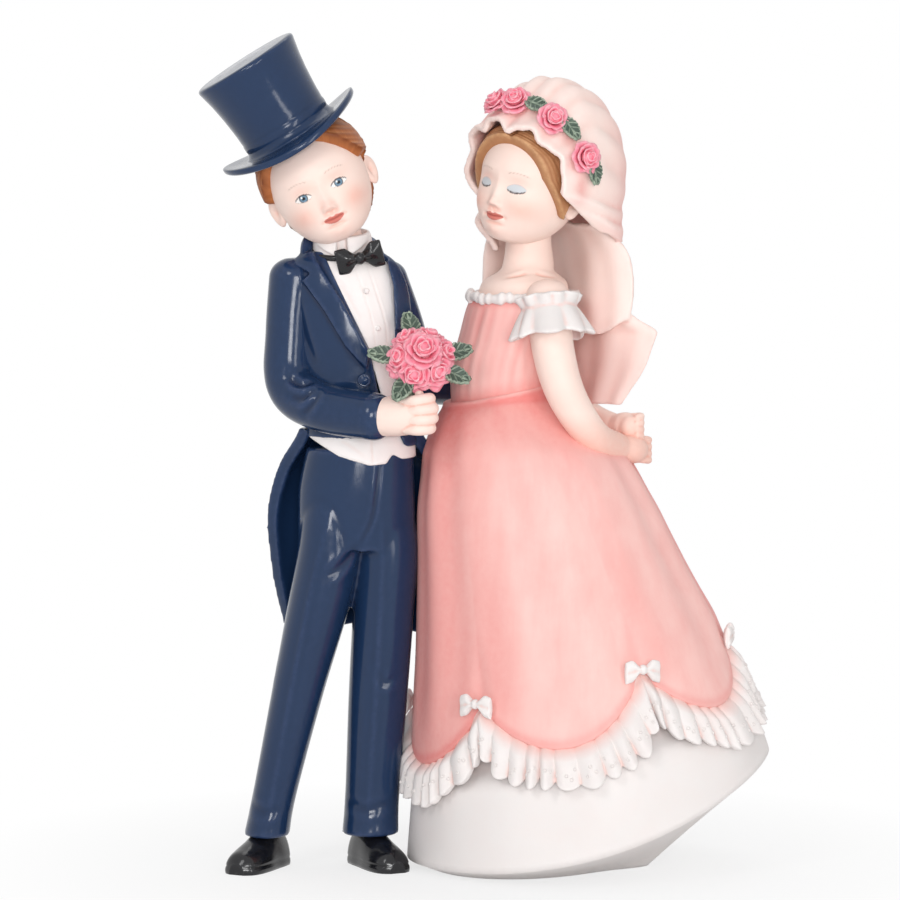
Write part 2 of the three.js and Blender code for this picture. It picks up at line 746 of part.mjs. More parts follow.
// Tail of the coat behind the legs: round the waist at its top, and out to a flared edge further down.
const tailClearance = TAIL_THICKNESS / 2 + GLUE_LINE;
function tailForm(side) {
  const flare = [0.16, 0.74, 1, 0.97, 0.8, 0.52].map((share) => WAIST_WIDTH / 2 + share * TAIL_FLARE);
  const edge = new THREE.SplineCurve(flare.map((reach, i) => new THREE.Vector2(i, reach)));
  const pointAt = (u, v) => {
    const turn = (Math.PI / 2) * u;
    const round = 1 - v;
    const reach = edge.getPoint(THREE.MathUtils.clamp(v, 0, 1)).y;
    const out = mix(GLUE_LINE * 0.7, reach, mix(u, Math.sin(turn), round));
    const back = CHEST_DEPTH * (0.49 + 0.1 * Math.sin(Math.PI * v) + 0.07 * v) + tailClearance;
    const wrap = (CHEST_DEPTH / 2) * mix(0.45 * u * u, 1 - Math.cos(turn), round);
    const down = TAIL_LENGTH * (v + 0.056 * u * v - 0.042);
    return point(WAIST_X + side * out, back - wrap, coatHem - down);
  };
  return sheet(pointAt, 4, 5, TAIL_THICKNESS);
}
place(groom, "right_coat_tail", NAVY, tailForm(-1));
place(groom, "left_coat_tail", NAVY, tailForm(1));

// Arms of the groom: the right forearm crosses in front, the left arm goes behind the bride.
const armholeHeight = shoulderHeight - COAT_LENGTH * 0.148;
const rightShoulder = point(neckX - CHEST_WIDTH * 0.39, CHEST_DEPTH * 0.03, armholeHeight);
const rightElbow = rightShoulder.clone().addScaledVector(point(-0.076, -0.135, -0.985), UPPER_ARM_LENGTH);
const forearmHeading = point(0.8, -0.535, -0.275).normalize();
const rightCuff = rightElbow.clone().addScaledVector(forearmHeading, FOREARM_LENGTH);
const forearmSag = point(-SLEEVE_WIDTH * 0.033, -SLEEVE_WIDTH * 0.033, -SLEEVE_WIDTH * 0.174);
const rightSleevePath = [
  rightShoulder,
  rightShoulder.clone().lerp(rightElbow, 0.5).add(point(-SLEEVE_WIDTH * 0.076, SLEEVE_WIDTH * 0.033, 0)),
  rightElbow,
  rightElbow.clone().lerp(rightCuff, 0.4).add(forearmSag),
  rightCuff,
];
const sleeveWidths = [...[1.02, 0.98, 1, 0.96].map((share) => share * SLEEVE_WIDTH), CUFF_WIDTH];
place(groom, "right_sleeve", NAVY, limb(rightSleevePath, sleeveWidths, 10, LIMB_SIDES, [true, false]));

const leftArmhole = armholeHeight - SLEEVE_WIDTH * 0.043;
const leftShoulder = point(neckX + CHEST_WIDTH * 0.335, CHEST_DEPTH * 0.09, leftArmhole);
const leftElbow = leftShoulder.clone().addScaledVector(point(0.27, 0.41, -0.93), UPPER_ARM_LENGTH);
const leftForearmHeading = point(0.72, 0.66, -0.2).normalize();
const leftCuff = leftElbow.clone().addScaledVector(leftForearmHeading, FOREARM_LENGTH * 0.5);
const leftSleevePath = [
  leftShoulder,
  leftShoulder.clone().lerp(leftElbow, 0.5).add(point(SLEEVE_WIDTH * 0.043, -SLEEVE_WIDTH * 0.087, 0)),
  leftElbow,
  leftCuff,
];
const leftWidths = [...[0.92, 0.92, 0.94].map((share) => share * SLEEVE_WIDTH), CUFF_WIDTH];
place(groom, "left_sleeve", NAVY, limb(leftSleevePath, leftWidths, 7, LIMB_SIDES, [true, false]));

// Fist with its wrist at the origin, reaching along X, with the fingers curled to the front.
function fistForm() {
  const palmPath = [-0.19, 0.3, 0.72].map((share) => point(HAND_LENGTH * share, 0, 0));
  const palmWidths = [0.8, 0.9, 0.92].map((share) => HAND_WIDTH * share);
  const palm = solidOf(limb(palmPath, palmWidths, 3, 8, [true, true]));
  const fingerWidth = HAND_WIDTH * 0.28;
  const fingers = [0.33, 0.11, -0.11, -0.33].map((rise) => {
    const height = rise * HAND_WIDTH * 1.06;
    const curl = [
      point(HAND_LENGTH * 0.8, HAND_WIDTH * 0.19, height),
      point(HAND_LENGTH * 0.99, -HAND_WIDTH * 0.16, height * 0.96),
      point(HAND_LENGTH * 0.82, -HAND_WIDTH * 0.48, height * 0.92),
      point(HAND_LENGTH * 0.52, -HAND_WIDTH * 0.5, height * 0.9),
    ];
    const widths = [1, 1, 1, 0.9].map((share) => fingerWidth * share);
    return solidOf(limb(curl, widths, 4, 6, [true, true]));
  });
  return fingers.reduce((hand, finger) => hand.add(finger), palm);
}
const fist = groupAt(groom, rightCuff);
fist.position.addScaledVector(forearmHeading, GLUE_LINE);
fist.quaternion.setFromUnitVectors(point(1, 0, 0), point(0.96, -0.26, 0.1).normalize());

// Posy: its stem goes down through the fist, and its roses dome towards the front.
const posyFacing = point(0.12, -0.86, 0.5);
const overFist = point(HAND_LENGTH * 0.79, -HAND_WIDTH * 0.43, HAND_WIDTH * 0.5 + POSY_DIAMETER * 0.65);
const posy = groupAt(groom, rightCuff.clone().add(overFist));
const stemGroup = groupOn(posy, point(0, POSY_DIAMETER * 0.052, 0), point(0.22, -0.08, 1));
const stemProfile = [
  [0, -POSY_STEM_LENGTH],
  [POSY_STEM_DIAMETER * 0.42, -POSY_STEM_LENGTH],
  [POSY_STEM_DIAMETER * 0.5, -POSY_STEM_LENGTH * 0.45],
  [POSY_STEM_DIAMETER * 0.8, -POSY_DIAMETER * 0.28],
  [0, -POSY_DIAMETER * 0.05],
];
place(stemGroup, "posy_stem", LEAF_GREEN, turned(stemProfile, 10));
place(fist, "groom_right_hand", SKIN, fistForm());

const posyHead = groupOn(posy, point(0, 0, 0), posyFacing);
const posyRise = POSY_DIAMETER * 0.16;
const heart = groupAt(posyHead, point(0, 0, posyRise));
place(heart, "posy_rose_1", ROSE_PINK, roseForm(POSY_ROSE_DIAMETER));
for (let k = 0; k < POSY_ROSE_COUNT; k++) {
  const angle = (2 * Math.PI * (k + 0.25)) / POSY_ROSE_COUNT;
  const outward = point(Math.cos(angle), Math.sin(angle), 0);
  const spread = POSY_DIAMETER * 0.595 - POSY_ROSE_DIAMETER * 0.5;
  const spot = outward.clone().multiplyScalar(spread).add(point(0, 0, -posyRise * 0.5));
  const rose = groupOn(posyHead, spot, outward.clone().add(point(0, 0, 1.1)));
  place(rose, `posy_rose_${k + 2}`, ROSE_PINK, roseForm(POSY_ROSE_DIAMETER));
}
const posyLeafAngles = [180, 110, 20, -20, -115];
posyLeafAngles.forEach((degrees, k) => {
  const angle = radians(degrees);
  const start = POSY_DIAMETER * 0.38;
  const stalk = point(Math.cos(angle) * start, Math.sin(angle) * start, -posyRise * 1.35);
  const leaf = groupAt(posyHead, stalk, [0, 0, degrees]);
  place(leaf, `posy_leaf_${k + 1}`, LEAF_GREEN, leafForm(POSY_LEAF_LENGTH));
});

// Bow tie on its band round the collar.
const bandInside = collarRadius - TIE_BAND_WIDTH * 0.9;
const bandOutside = collarRadius + TIE_BAND_WIDTH * 0.77;
const bandProfile = [
  [bandInside, -TIE_BAND_WIDTH / 2],
  [bandOutside, -TIE_BAND_WIDTH / 2],
  [bandOutside, TIE_BAND_WIDTH / 2],
  [bandInside, TIE_BAND_WIDTH / 2],
  [bandInside, -TIE_BAND_WIDTH / 2],
];
const tieGroup = groupAt(collarGroup, point(0, 0, COLLAR_HEIGHT * 0.09), [8, 0, 0]);
const bowSpot = point(BOW_TIE_WIDTH * 0.35, -collarRadius - BOW_TIE_DEPTH * 0.25, BOW_TIE_HEIGHT * 0.04);
const bowTie = groupAt(tieGroup, bowSpot, [0, -10, 8]);
const tieBow = inParent(bowTie, bowForm(BOW_TIE_WIDTH, BOW_TIE_HEIGHT, BOW_TIE_DEPTH));
place(tieGroup, "bow_tie", BLACK, solidOf(turned(bandProfile, 18)).add(tieBow));

// Groom's head, hair and top hat.
const groomHead = groupAt(groom, headPivot, [0, GROOM_HEAD_TILT, 0]);
const neckPath = [neckBase, neckBase.clone().lerp(headPivot, 0.5), headPivot];
const neck = solidOf(limb(neckPath, [NECK_WIDTH, NECK_WIDTH * 0.92, NECK_WIDTH * 0.92], 4, 14));
groomHead.updateMatrix();
const neckInHead = neck.transform(groomHead.matrix.clone().invert().elements);
place(groomHead, "groom_head", SKIN, headForm().add(earForm(-1)).add(earForm(1)).add(neckInHead));

const hatSpot = point(-CROWN_BASE_DIAMETER * 0.042, CROWN_BASE_DIAMETER * 0.024, HAT_SEAT);
const hat = groupAt(groomHead, hatSpot, [5, HAT_TILT, 0]);
const crownGirth = CROWN_BASE_DIAMETER / 2;
const crownSpread = CROWN_TOP_DIAMETER / 2 - crownGirth;
const crownProfile = [
  [0, 0],
  [crownGirth, 0],
  [crownGirth - crownSpread * 0.07, CROWN_HEIGHT * 0.2],
  [crownGirth + crownSpread * 0.17, CROWN_HEIGHT * 0.5],
  [crownGirth + crownSpread * 0.62, CROWN_HEIGHT * 0.8],
  [crownGirth + crownSpread, CROWN_HEIGHT * 0.97],
  [crownGirth + crownSpread * 0.47, CROWN_HEIGHT],
  [0, CROWN_HEIGHT * 1.026],
];
const brimAt = (u, v) => {
  const angle = 2 * Math.PI * u;
  const radius = mix(crownGirth - BAND_THICKNESS, BRIM_DIAMETER / 2, v);
  const lift = BRIM_CURL * v * v * Math.cos(angle) ** 2 - BRIM_DROOP * v * Math.sin(angle) ** 2;
  return point(Math.cos(angle) * radius, Math.sin(angle) * radius, BRIM_THICKNESS / 2 + lift);
};
const hatBandProfile = [
  [crownGirth - BAND_THICKNESS, BRIM_THICKNESS + GLUE_LINE],
  [crownGirth + BAND_THICKNESS, BRIM_THICKNESS + GLUE_LINE],
  [crownGirth + BAND_THICKNESS, BRIM_THICKNESS + BAND_HEIGHT],
  [crownGirth - BAND_THICKNESS, BRIM_THICKNESS + BAND_HEIGHT],
  [crownGirth - BAND_THICKNESS, BRIM_THICKNESS + GLUE_LINE],
];
place(hat, "hat_crown", NAVY, solidOf(turned(crownProfile, 24)).add(solidOf(turned(hatBandProfile, 24))));
place(hat, "hat_brim", NAVY, sheet(brimAt, 24, 2, BRIM_THICKNESS, true));
const groomFace = [
  [-1.03, -0.91],
  [0.18, -0.91],
  [0.16, -0.08],
  [0.06, 0.1],
  [-0.03, 0.05],
  [-0.03, -0.1],
  [-0.1, -0.1],
  [-0.13, 0.1],
  [-0.3, 0.264],
  [-0.25, 0.47],
  [-1.03, 0.47],
];
const underHat = [
  [0, -BRIM_DROOP],
  [BRIM_DIAMETER / 2, -BRIM_DROOP],
  [BRIM_DIAMETER / 2, CROWN_HEIGHT],
  [0, CROWN_HEIGHT],
];
const hatRoom = inParent(hat, turned(underHat, 24));
place(groomHead, "groom_hair", AUBURN, cut(hairForm(groomFace), hatRoom));

// Bride: skirts

const bride = groupAt(figurine, point(BRIDE_X, BRIDE_Y, 0));

// Outer surface of the dress from the floor up, in shares of its height, its swing and its flare.
const DRESS_SHAPE = [
  [0, 1, 1],
  [0.143, 1, 0.967],
  [0.25, 0.99, 0.927],
  [0.369, 0.857, 0.824],
  [0.542, 0.685, 0.694],
  [0.643, 0.539, 0.592],
  [0.762, 0.386, 0.49],
  [0.845, 0.29, 0.396],
  [0.893, 0.22, 0.335],
  [0.923, 0.13, 0.233],
  [0.958, 0.045, 0.122],
  [1, 0, 0],
];
const dressCurves = [1, 2].map((column) => {
  return new THREE.SplineCurve(DRESS_SHAPE.map((row, i) => new THREE.Vector2(i, row[column])));
});
function dressAt(height) {
  const share = THREE.MathUtils.clamp(height / SKIRT_HEIGHT, 0, 1);
  const i = Math.max(1, DRESS_SHAPE.findIndex((row) => row[0] >= share));
  const [from, to] = [DRESS_SHAPE[i - 1][0], DRESS_SHAPE[i][0]];
  const along = (i - 1 + (share - from) / (to - from)) / (DRESS_SHAPE.length - 1);
  const [swing, flare] = dressCurves.map((curve) => curve.getPoint(along).y);
  return {
    x: DRESS_WAIST_X + swing * SKIRT_SWING,
    width: mix(DRESS_WAIST_WIDTH, DRESS_HEM_WIDTH, flare),
    depth: mix(DRESS_WAIST_WIDTH * 0.96, DRESS_HEM_DEPTH, flare),
  };
}

// Spot on the dress at an angle and height, sunk inwards by a depth.
function onDress(angle, height, sunk = 0) {
  const { x, width, depth } = dressAt(height);
  return point(x + Math.cos(angle) * (width / 2 - sunk), Math.sin(angle) * (depth / 2 - sunk), height);
}

// The hem touches the floor on the groom's side and swings up on the other.
const towardsSwing = (angle) => (1 + Math.cos(angle)) / 2;
const hemHeight = (angle) => mix(HEM_LIFT_LOW, HEM_LIFT_HIGH, towardsSwing(angle) ** 2.3);

// Scalloped seam where the pink skirt ends: a swag between each pair of bows.
const scallopAngle = (2 * Math.PI) / SCALLOP_COUNT;
const bowAngle = (k) => radians(SCALLOP_START) + k * scallopAngle;
const seamLow = (angle) => SCALLOP_LOW + SCALLOP_RISE * towardsSwing(angle);
function seamHeight(angle) {
  const turns = (angle - bowAngle(0)) / scallopAngle;
  const swag = 2 * (turns - Math.floor(turns)) - 1;
  return seamLow(angle) + SCALLOP_DEPTH * swag * swag;
}

const skirtRing = (pointAt) => {
  return Array.from({ length: SKIRT_SIDES }, (_, s) => pointAt((2 * Math.PI * s) / SKIRT_SIDES));
};
const petticoatSunk = OVERSKIRT_THICKNESS + 2 * GLUE_LINE;
const petticoatTop = SKIRT_HEIGHT - OVERSKIRT_THICKNESS - GLUE_LINE;
function petticoatForm() {
  const tuck = (angle) => BASE_INSET + UNDERCUT * hemHeight(angle);
  const base = skirtRing((angle) => onDress(angle, hemHeight(angle), tuck(angle)).setZ(0));
  const hem = skirtRing((angle) => onDress(angle, hemHeight(angle), GLUE_LINE));
  const levels = [0.12, 0.3, 0.55, 0.8, 1].map((share) => {
    return skirtRing((angle) => {
      const height = mix(hemHeight(angle), petticoatTop, share);
      const below = seamLow(angle) - RUFFLE_WIDTH * 0.8;
      const underSkirt = THREE.MathUtils.smoothstep(height, below, below + RUFFLE_WIDTH * 0.66);
      return onDress(angle, height, mix(GLUE_LINE * 1.7, petticoatSunk, underSkirt));
    });
  });
  return skin([base, hem, ...levels]);
}
place(bride, "petticoat", LACE_WHITE, petticoatForm());

function overskirtForm() {
  const shares = [0, 0.2, 0.42, 0.64, 0.84, 1];
  const wall = (sunk, top) => {
    const ring = (share) => skirtRing((angle) => onDress(angle, mix(seamHeight(angle), top, share), sunk));
    return shares.map(ring);
  };
  const outside = wall(0, SKIRT_HEIGHT);
  const inside = wall(OVERSKIRT_THICKNESS, SKIRT_HEIGHT - OVERSKIRT_THICKNESS).reverse();
  return skin([...inside, ...outside]);
}
place(bride, "overskirt", CORAL, overskirtForm());

// Ruffle below the seam, in pleats that open towards its lower edge.
const ruffleSides = 2 * RUFFLE_PLEATS;
const ruffleRing = (drop, proud, pleat) => {
  return Array.from({ length: ruffleSides }, (_, s) => {
    const angle = (2 * Math.PI * s) / ruffleSides;
    const fold = (s % 2 ? 1 : -1) * (pleat / 2);
    const height = seamHeight(angle) - GLUE_LINE - drop;
    return onDress(angle, height, -(proud + fold)).setZ(height);
  });
};
const ruffleRings = [
  ruffleRing(0, RUFFLE_PLEAT_DEPTH * 0.4, RUFFLE_PLEAT_DEPTH * 0.13),
  ruffleRing(RUFFLE_WIDTH * 0.5, RUFFLE_PLEAT_DEPTH * 1.07, RUFFLE_PLEAT_DEPTH * 0.6),
  ruffleRing(RUFFLE_WIDTH, RUFFLE_PLEAT_DEPTH * 1.33, RUFFLE_PLEAT_DEPTH),
  ruffleRing(RUFFLE_WIDTH, RUFFLE_PLEAT_DEPTH * 0.67, RUFFLE_PLEAT_DEPTH * 0.5),
  ruffleRing(RUFFLE_WIDTH * 0.5, -RUFFLE_PLEAT_DEPTH * 0.07, RUFFLE_PLEAT_DEPTH * 0.13),
  ruffleRing(0, -OVERSKIRT_THICKNESS * 0.82, 0),
];
// Band over a run of rings whose last ring joins the first.
function bandOver(rings) {
  const sides = rings[0].length;
  const triangles = [];
  for (let r = 0; r < rings.length; r++) {
    const [here, above] = [r * sides, ((r + 1) % rings.length) * sides];
    for (let s = 0; s < sides; s++) {
      const next = (s + 1) % sides;
      triangles.push(here + s, here + next, above + s, here + next, above + next, above + s);
    }
  }
  return closedGeometry(rings.flat(), triangles);
}
place(bride, "hem_ruffle", LACE_WHITE, bandOver(ruffleRings));

for (let k = 0; k < SCALLOP_COUNT; k++) {
  const angle = bowAngle(k);
  const height = seamHeight(angle) + HEM_BOW_HEIGHT * 0.2;
  const turn = THREE.MathUtils.radToDeg(angle) + 90;
  const bow = groupAt(bride, onDress(angle, height, -GLUE_LINE), [0, 0, turn]);
  place(bow, `hem_bow_${k + 1}`, LACE_WHITE, bowForm(HEM_BOW_WIDTH, HEM_BOW_HEIGHT, HEM_BOW_DEPTH));
}

// Bride: bodice, shoulders and arms

const necklineHeight = SKIRT_HEIGHT + GLUE_LINE + BODICE_HEIGHT;
const necklineX = DRESS_WAIST_X + BODICE_LEAN;
const bodice = [
  [0, 0, DRESS_WAIST_WIDTH, 0.95],
  [0.25, 0.08, DRESS_WAIST_WIDTH, 0.94],
  [0.62, 0.55, BUST_WIDTH * 0.99, 1],
  [0.86, 0.88, BUST_WIDTH, 1],
  [1, 1, BUST_WIDTH * 0.95, 0.96],
].map(([up, lean, width, depth]) => {
  const deep = up < 0.5 ? DRESS_WAIST_WIDTH * depth : BUST_DEPTH * depth;
  const height = SKIRT_HEIGHT + GLUE_LINE + up * BODICE_HEIGHT;
  return [height, mix(DRESS_WAIST_X, necklineX, lean), 0, width, deep];
});
place(bride, "bodice", CORAL, stack(bodice, 6));

const neckSpot = point(necklineX + BUST_WIDTH * 0.052, 0, necklineHeight + SHOULDER_HEIGHT);
const shoulders = [
  [GLUE_LINE, 0, BUST_WIDTH * 0.86, BUST_DEPTH * 0.88],
  [SHOULDER_HEIGHT * 0.45, 0.3, BUST_WIDTH * 0.78, BUST_DEPTH * 0.84],
  [SHOULDER_HEIGHT * 0.8, 0.7, BUST_WIDTH * 0.52, BUST_DEPTH * 0.6],
  [SHOULDER_HEIGHT + BRIDE_NECK_HEIGHT * 0.075, 1, NECK_WIDTH * 1.04, NECK_WIDTH * 1.04],
  [SHOULDER_HEIGHT + BRIDE_NECK_HEIGHT * 0.5, 1, NECK_WIDTH * 0.94, NECK_WIDTH * 0.94],
  [SHOULDER_HEIGHT + BRIDE_NECK_HEIGHT, 1, NECK_WIDTH * 0.94, NECK_WIDTH * 0.94],
].map(([rise, lean, width, depth]) => {
  return [necklineHeight + rise, mix(necklineX, neckSpot.x, lean), 0, width, depth];
});
place(bride, "bride_shoulders", SKIN, stack(shoulders, 8, 16));

// Arms reach behind the back, where the hands are clasped.
const clasp = point(CLASP_REACH, 0, SKIRT_HEIGHT - CLASP_DROP);
const fromNeckline = (x, y, z) => {
  return point(necklineX + x * BUST_WIDTH, y * BUST_DEPTH, necklineHeight + z * BODICE_HEIGHT);
};
const fromClasp = (x, y, z) => point(clasp.x + x * BUST_WIDTH, y * BUST_DEPTH, clasp.z + z * BODICE_HEIGHT);
const arms = {
  left: [
    fromNeckline(0.219, -0.5, 0.034),
    fromNeckline(0.271, -0.6, -0.514),
    fromNeckline(0.396, -0.6, -0.971),
    fromClasp(-0.229, -0.474, 0.149),
    fromClasp(0, -0.158, 0),
  ],
  right: [
    fromNeckline(-0.115, 0.5, 0.034),
    fromNeckline(-0.031, 0.62, -0.514),
    fromNeckline(0.208, 0.64, -0.914),
    fromClasp(-0.26, 0.4, 0.263),
    fromClasp(-0.031, 0.147, 0.171),
  ],
};
const armWidths = [0, 0.06, 0.32, 0.7, 1].map((share) => mix(ARM_WIDTH, WRIST_WIDTH, share));
const claspedHands = {
  left: [point(0.096, -0.48, -0.038), point(0.577, -0.077, -0.115), point(0.692, 0.423, -0.192)],
  right: [point(0, 0.423, 0.577), point(0.346, 0.154, 0.635), point(0.5, -0.115, 0.654)],
};
for (const [side, spots] of Object.entries(claspedHands)) {
  const path = spots.map((spot) => spot.clone().multiplyScalar(WRIST_WIDTH).add(clasp));
  const widths = [WRIST_WIDTH, WRIST_WIDTH * 1.16, WRIST_WIDTH * 0.92];
  const hand = solidOf(limb(path, widths, 4, 8, [true, true]));
  place(bride, `bride_${side}_arm`, SKIN, solidOf(limb(arms[side], armWidths, 8)).add(hand));
}

// Frill round each upper arm and round the neckline.
function sleeveFrillForm() {
  const pointAt = (u, v) => {
    const angle = 2 * Math.PI * u;
    const ripple = 1 + 0.09 * v * Math.cos(FRILL_WAVES * angle);
    const radius = (mix(ARM_WIDTH * 1.21, FRILL_WIDTH, v) / 2) * ripple;
    return point(Math.cos(angle) * radius, Math.sin(angle) * radius, -v * FRILL_HEIGHT);
  };
  return sheet(pointAt, 4 * FRILL_WAVES, 2, FRILL_THICKNESS, true);
}
for (const [side, path] of Object.entries(arms)) {
  const along = path[0].clone().sub(path[1]);
  const frill = groupOn(bride, path[0].clone().lerp(path[1], 0.16), along);
  place(frill, `${side}_sleeve_frill`, LACE_WHITE, sleeveFrillForm());
}
const necklineRing = (rise, proud, ripple) => {
  return Array.from({ length: NECKLINE_SIDES }, (_, s) => {
    const angle = (2 * Math.PI * s) / NECKLINE_SIDES;
    const out = NECKLINE_FRILL * (proud + ripple * (s % 2 ? 1 : -1));
    const across = BUST_WIDTH * 0.475 + out;
    const deep = BUST_DEPTH * 0.48 + out;
    const height = necklineHeight + rise * NECKLINE_FRILL;
    return point(necklineX + Math.cos(angle) * across, Math.sin(angle) * deep, height);
  });
};
const necklineRings = [
  necklineRing(-0.5, 0.11, 0.03),
  necklineRing(-0.1, 0.42, 0.08),
  necklineRing(0.4, 0.25, 0.08),
  necklineRing(0.5, -0.06, 0.03),
  necklineRing(0.1, -0.28, 0),
];
place(bride, "neckline_frill", LACE_WHITE, bandOver(necklineRings));

// Bride's head, hair and veil.
const headRise = BRIDE_NECK_HEIGHT + HEAD_HEIGHT * 0.296;
const headSpot = neckSpot.clone().add(point(HEAD_DEPTH * 0.02, -HEAD_DEPTH * 0.103, headRise));
const brideHead = groupAt(bride, headSpot, [0, BRIDE_HEAD_TILT, BRIDE_HEAD_TURN]);
place(brideHead, "bride_head", SKIN, headForm().add(earForm(1)));
const brideFace = [
  [-1.03, -0.91],
  [0.4, -0.91],
  [0.3, -0.25],
  [0, -0.22],
  [-0.077, -0.183],
  [-0.333, 0.082],
  [-0.42, 0.24],
  [-0.487, 0.356],
  [-1.03, 0.356],
];
place(brideHead, "bride_hair", LIGHT_BROWN, hairForm(brideFace));

// Hood of the veil: its rim goes up one side of the hair, over the forehead and down to the other ear,
// in soft lobes, and behind the rim the hood puffs out and closes at the back of the head.
const rimAcross = HEAD_WIDTH / 2 + HAIR_THICKNESS + GLUE_LINE + HOOD_THICKNESS / 2;
const rimRise = HEAD_HEIGHT * 0.52;
const rimFront = -HEAD_DEPTH * 0.48;
const rimLegs = { left: 0.2, right: 0.14 };
const puffEnd = 0.4;
function onHood(u, v) {
  const left = Math.max(0, 1 - u / rimLegs.left);
  const right = Math.max(0, (u - 1) / rimLegs.right + 1);
  const arch = THREE.MathUtils.clamp((u - rimLegs.left) / (1 - rimLegs.left - rimLegs.right), 0, 1);
  const side = Math.cos(Math.PI * arch);
  const swept = HEAD_DEPTH * (0.33 * side * side + 0.2 * left + 0.33 * right);
  const puff = Math.sin((Math.PI / 2) * Math.min(1, v / puffEnd));
  const behind = Math.max(0, v - puffEnd) / (1 - puffEnd);
  const fullness = Math.sqrt(Math.max(0.02, 1 - behind ** 3));
  const rim = Math.max(0, 1 - v / 0.35) ** 2;
  const lobes = Math.cos(2 * Math.PI * HOOD_RIM_LOBES * (arch - 0.2)) + Math.abs(side);
  const wave = HOOD_RIM_WAVE * rim * lobes * (1 - side ** 8) * (1 + 0.3 * side);
  const across = mix(rimAcross, HOOD_WIDTH / 2, puff) * fullness + wave - 0.16 * rimAcross * left;
  const rise = mix(rimRise, HOOD_RISE, puff) * fullness + wave;
  const drop = left * HOOD_LEG * mix(1, 0.5, v) + right * HOOD_EAR_DROP;
  const y = mix(rimFront + swept, rimFront + HOOD_DEPTH, v);
  return point(-side * across, y, Math.sin(Math.PI * arch) * rise - drop);
}
place(brideHead, "veil_hood", VEIL_PINK, sheet(onHood, 26, 5, HOOD_THICKNESS));

// Train of the veil: gathered under the hood, it hangs round the back, with one corner turned out.
const trainRadii = new THREE.SplineCurve(
  [0.95, 1.02, 1.03, 0.98, 0.98, 0.9].map((share, i) => new THREE.Vector2(i, share)),
);
const trainAt = (u, v) => {
  const angle = radians(mix(-24, 112, u));
  const share = trainRadii.getPoint(THREE.MathUtils.clamp(v, 0, 1)).y;
  const corner = TRAIN_CORNER * Math.exp(-(((v - 0.64) / 0.1) ** 2) - (u / 0.16) ** 2);
  const fold = TRAIN_FOLD * Math.sin(5 * Math.PI * u) * v;
  const gather = TRAIN_GATHER * Math.exp(-v / 0.06);
  const radius = TRAIN_RADIUS * share + corner + fold - gather;
  const back = mix(0.98, 0.92, u);
  const height = necklineHeight + TRAIN_RISE - v * TRAIN_LENGTH;
  return point(Math.cos(angle) * radius - TRAIN_RADIUS * 0.1, Math.sin(angle) * radius * back, height);
};
place(bride, "veil_train", VEIL_PINK, sheet(trainAt, 12, 9, TRAIN_THICKNESS));

// Garland on the hood: roses and leaves set along its rim.
const garland = [
  ["rose", 0.455, 0.08],
  ["rose", 0.5, 0.16],
  ["rose", 0.629, 0.123],
  ["rose", 0.76, 0.175],
  ["leaf", 0.573, 0.123],
  ["leaf", 0.679, 0.154],
  ["leaf", 0.791, 0.227],
];
const garlandCounts = { rose: 0, leaf: 0 };
for (const [kind, u, v] of garland) {
  const step = 0.01;
  const alongU = onHood(u + step, v).sub(onHood(u - step, v));
  const alongV = onHood(u, v + step).sub(onHood(u, v - step));
  const outward = alongU.cross(alongV).normalize();
  if (outward.dot(onHood(u, v)) < 0) outward.negate();
  garlandCounts[kind] += 1;
  const name = `veil_${kind}_${garlandCounts[kind]}`;
  const rise = HOOD_THICKNESS / 2 + GLUE_LINE;
  if (kind === "rose") {
    const spot = onHood(u, v).addScaledVector(outward, rise + VEIL_ROSE_DIAMETER * 0.26);
    place(groupOn(brideHead, spot, outward), name, ROSE_PINK, roseForm(VEIL_ROSE_DIAMETER));
  } else {
    const spot = onHood(u, v).addScaledVector(outward, rise + VEIL_LEAF_LENGTH * 0.11);
    const leaf = groupOn(brideHead, spot, outward);
    const lying = groupAt(leaf, point(-VEIL_LEAF_LENGTH * 0.4, 0, 0));
    place(lying, name, LEAF_GREEN, leafForm(VEIL_LEAF_LENGTH));
  }
}

// The groom's left hand rests on the bride's back.
const leftHandPath = [0, 0.4, 0.8].map((share) => {
  const reach = leftCuff.clone().addScaledVector(leftForearmHeading, GLUE_LINE + share * 0.4 * HAND_LENGTH);
  return reach.add(point(share * 0.6 * HAND_LENGTH, 0, 0));
});
const leftHandWidths = [HAND_WIDTH * 0.8, HAND_WIDTH * 0.86, HAND_WIDTH * 0.6];
place(groom, "groom_left_hand", SKIN, limb(leftHandPath, leftHandWidths, 4, 10, [true, true]));

// The figurine stands with its middle over the origin and its soles on the floor.
const extent = new THREE.Box3().setFromObject(figurine, true);
const middle = extent.getCenter(point(0, 0, 0));
figurine.position.set(-middle.x, -middle.y, -extent.min.z);

const topper = new THREE.Group();
topper.name = "cake_topper";
topper.add(figurine);

export default topper;
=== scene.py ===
"""Wedding cake topper in painted resin: a groom in a top hat with a posy, and a bride in a hooded veil."""

import math

import bmesh
import bpy
import numpy as np
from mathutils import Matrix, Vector
from mathutils.bvhtree import BVHTree


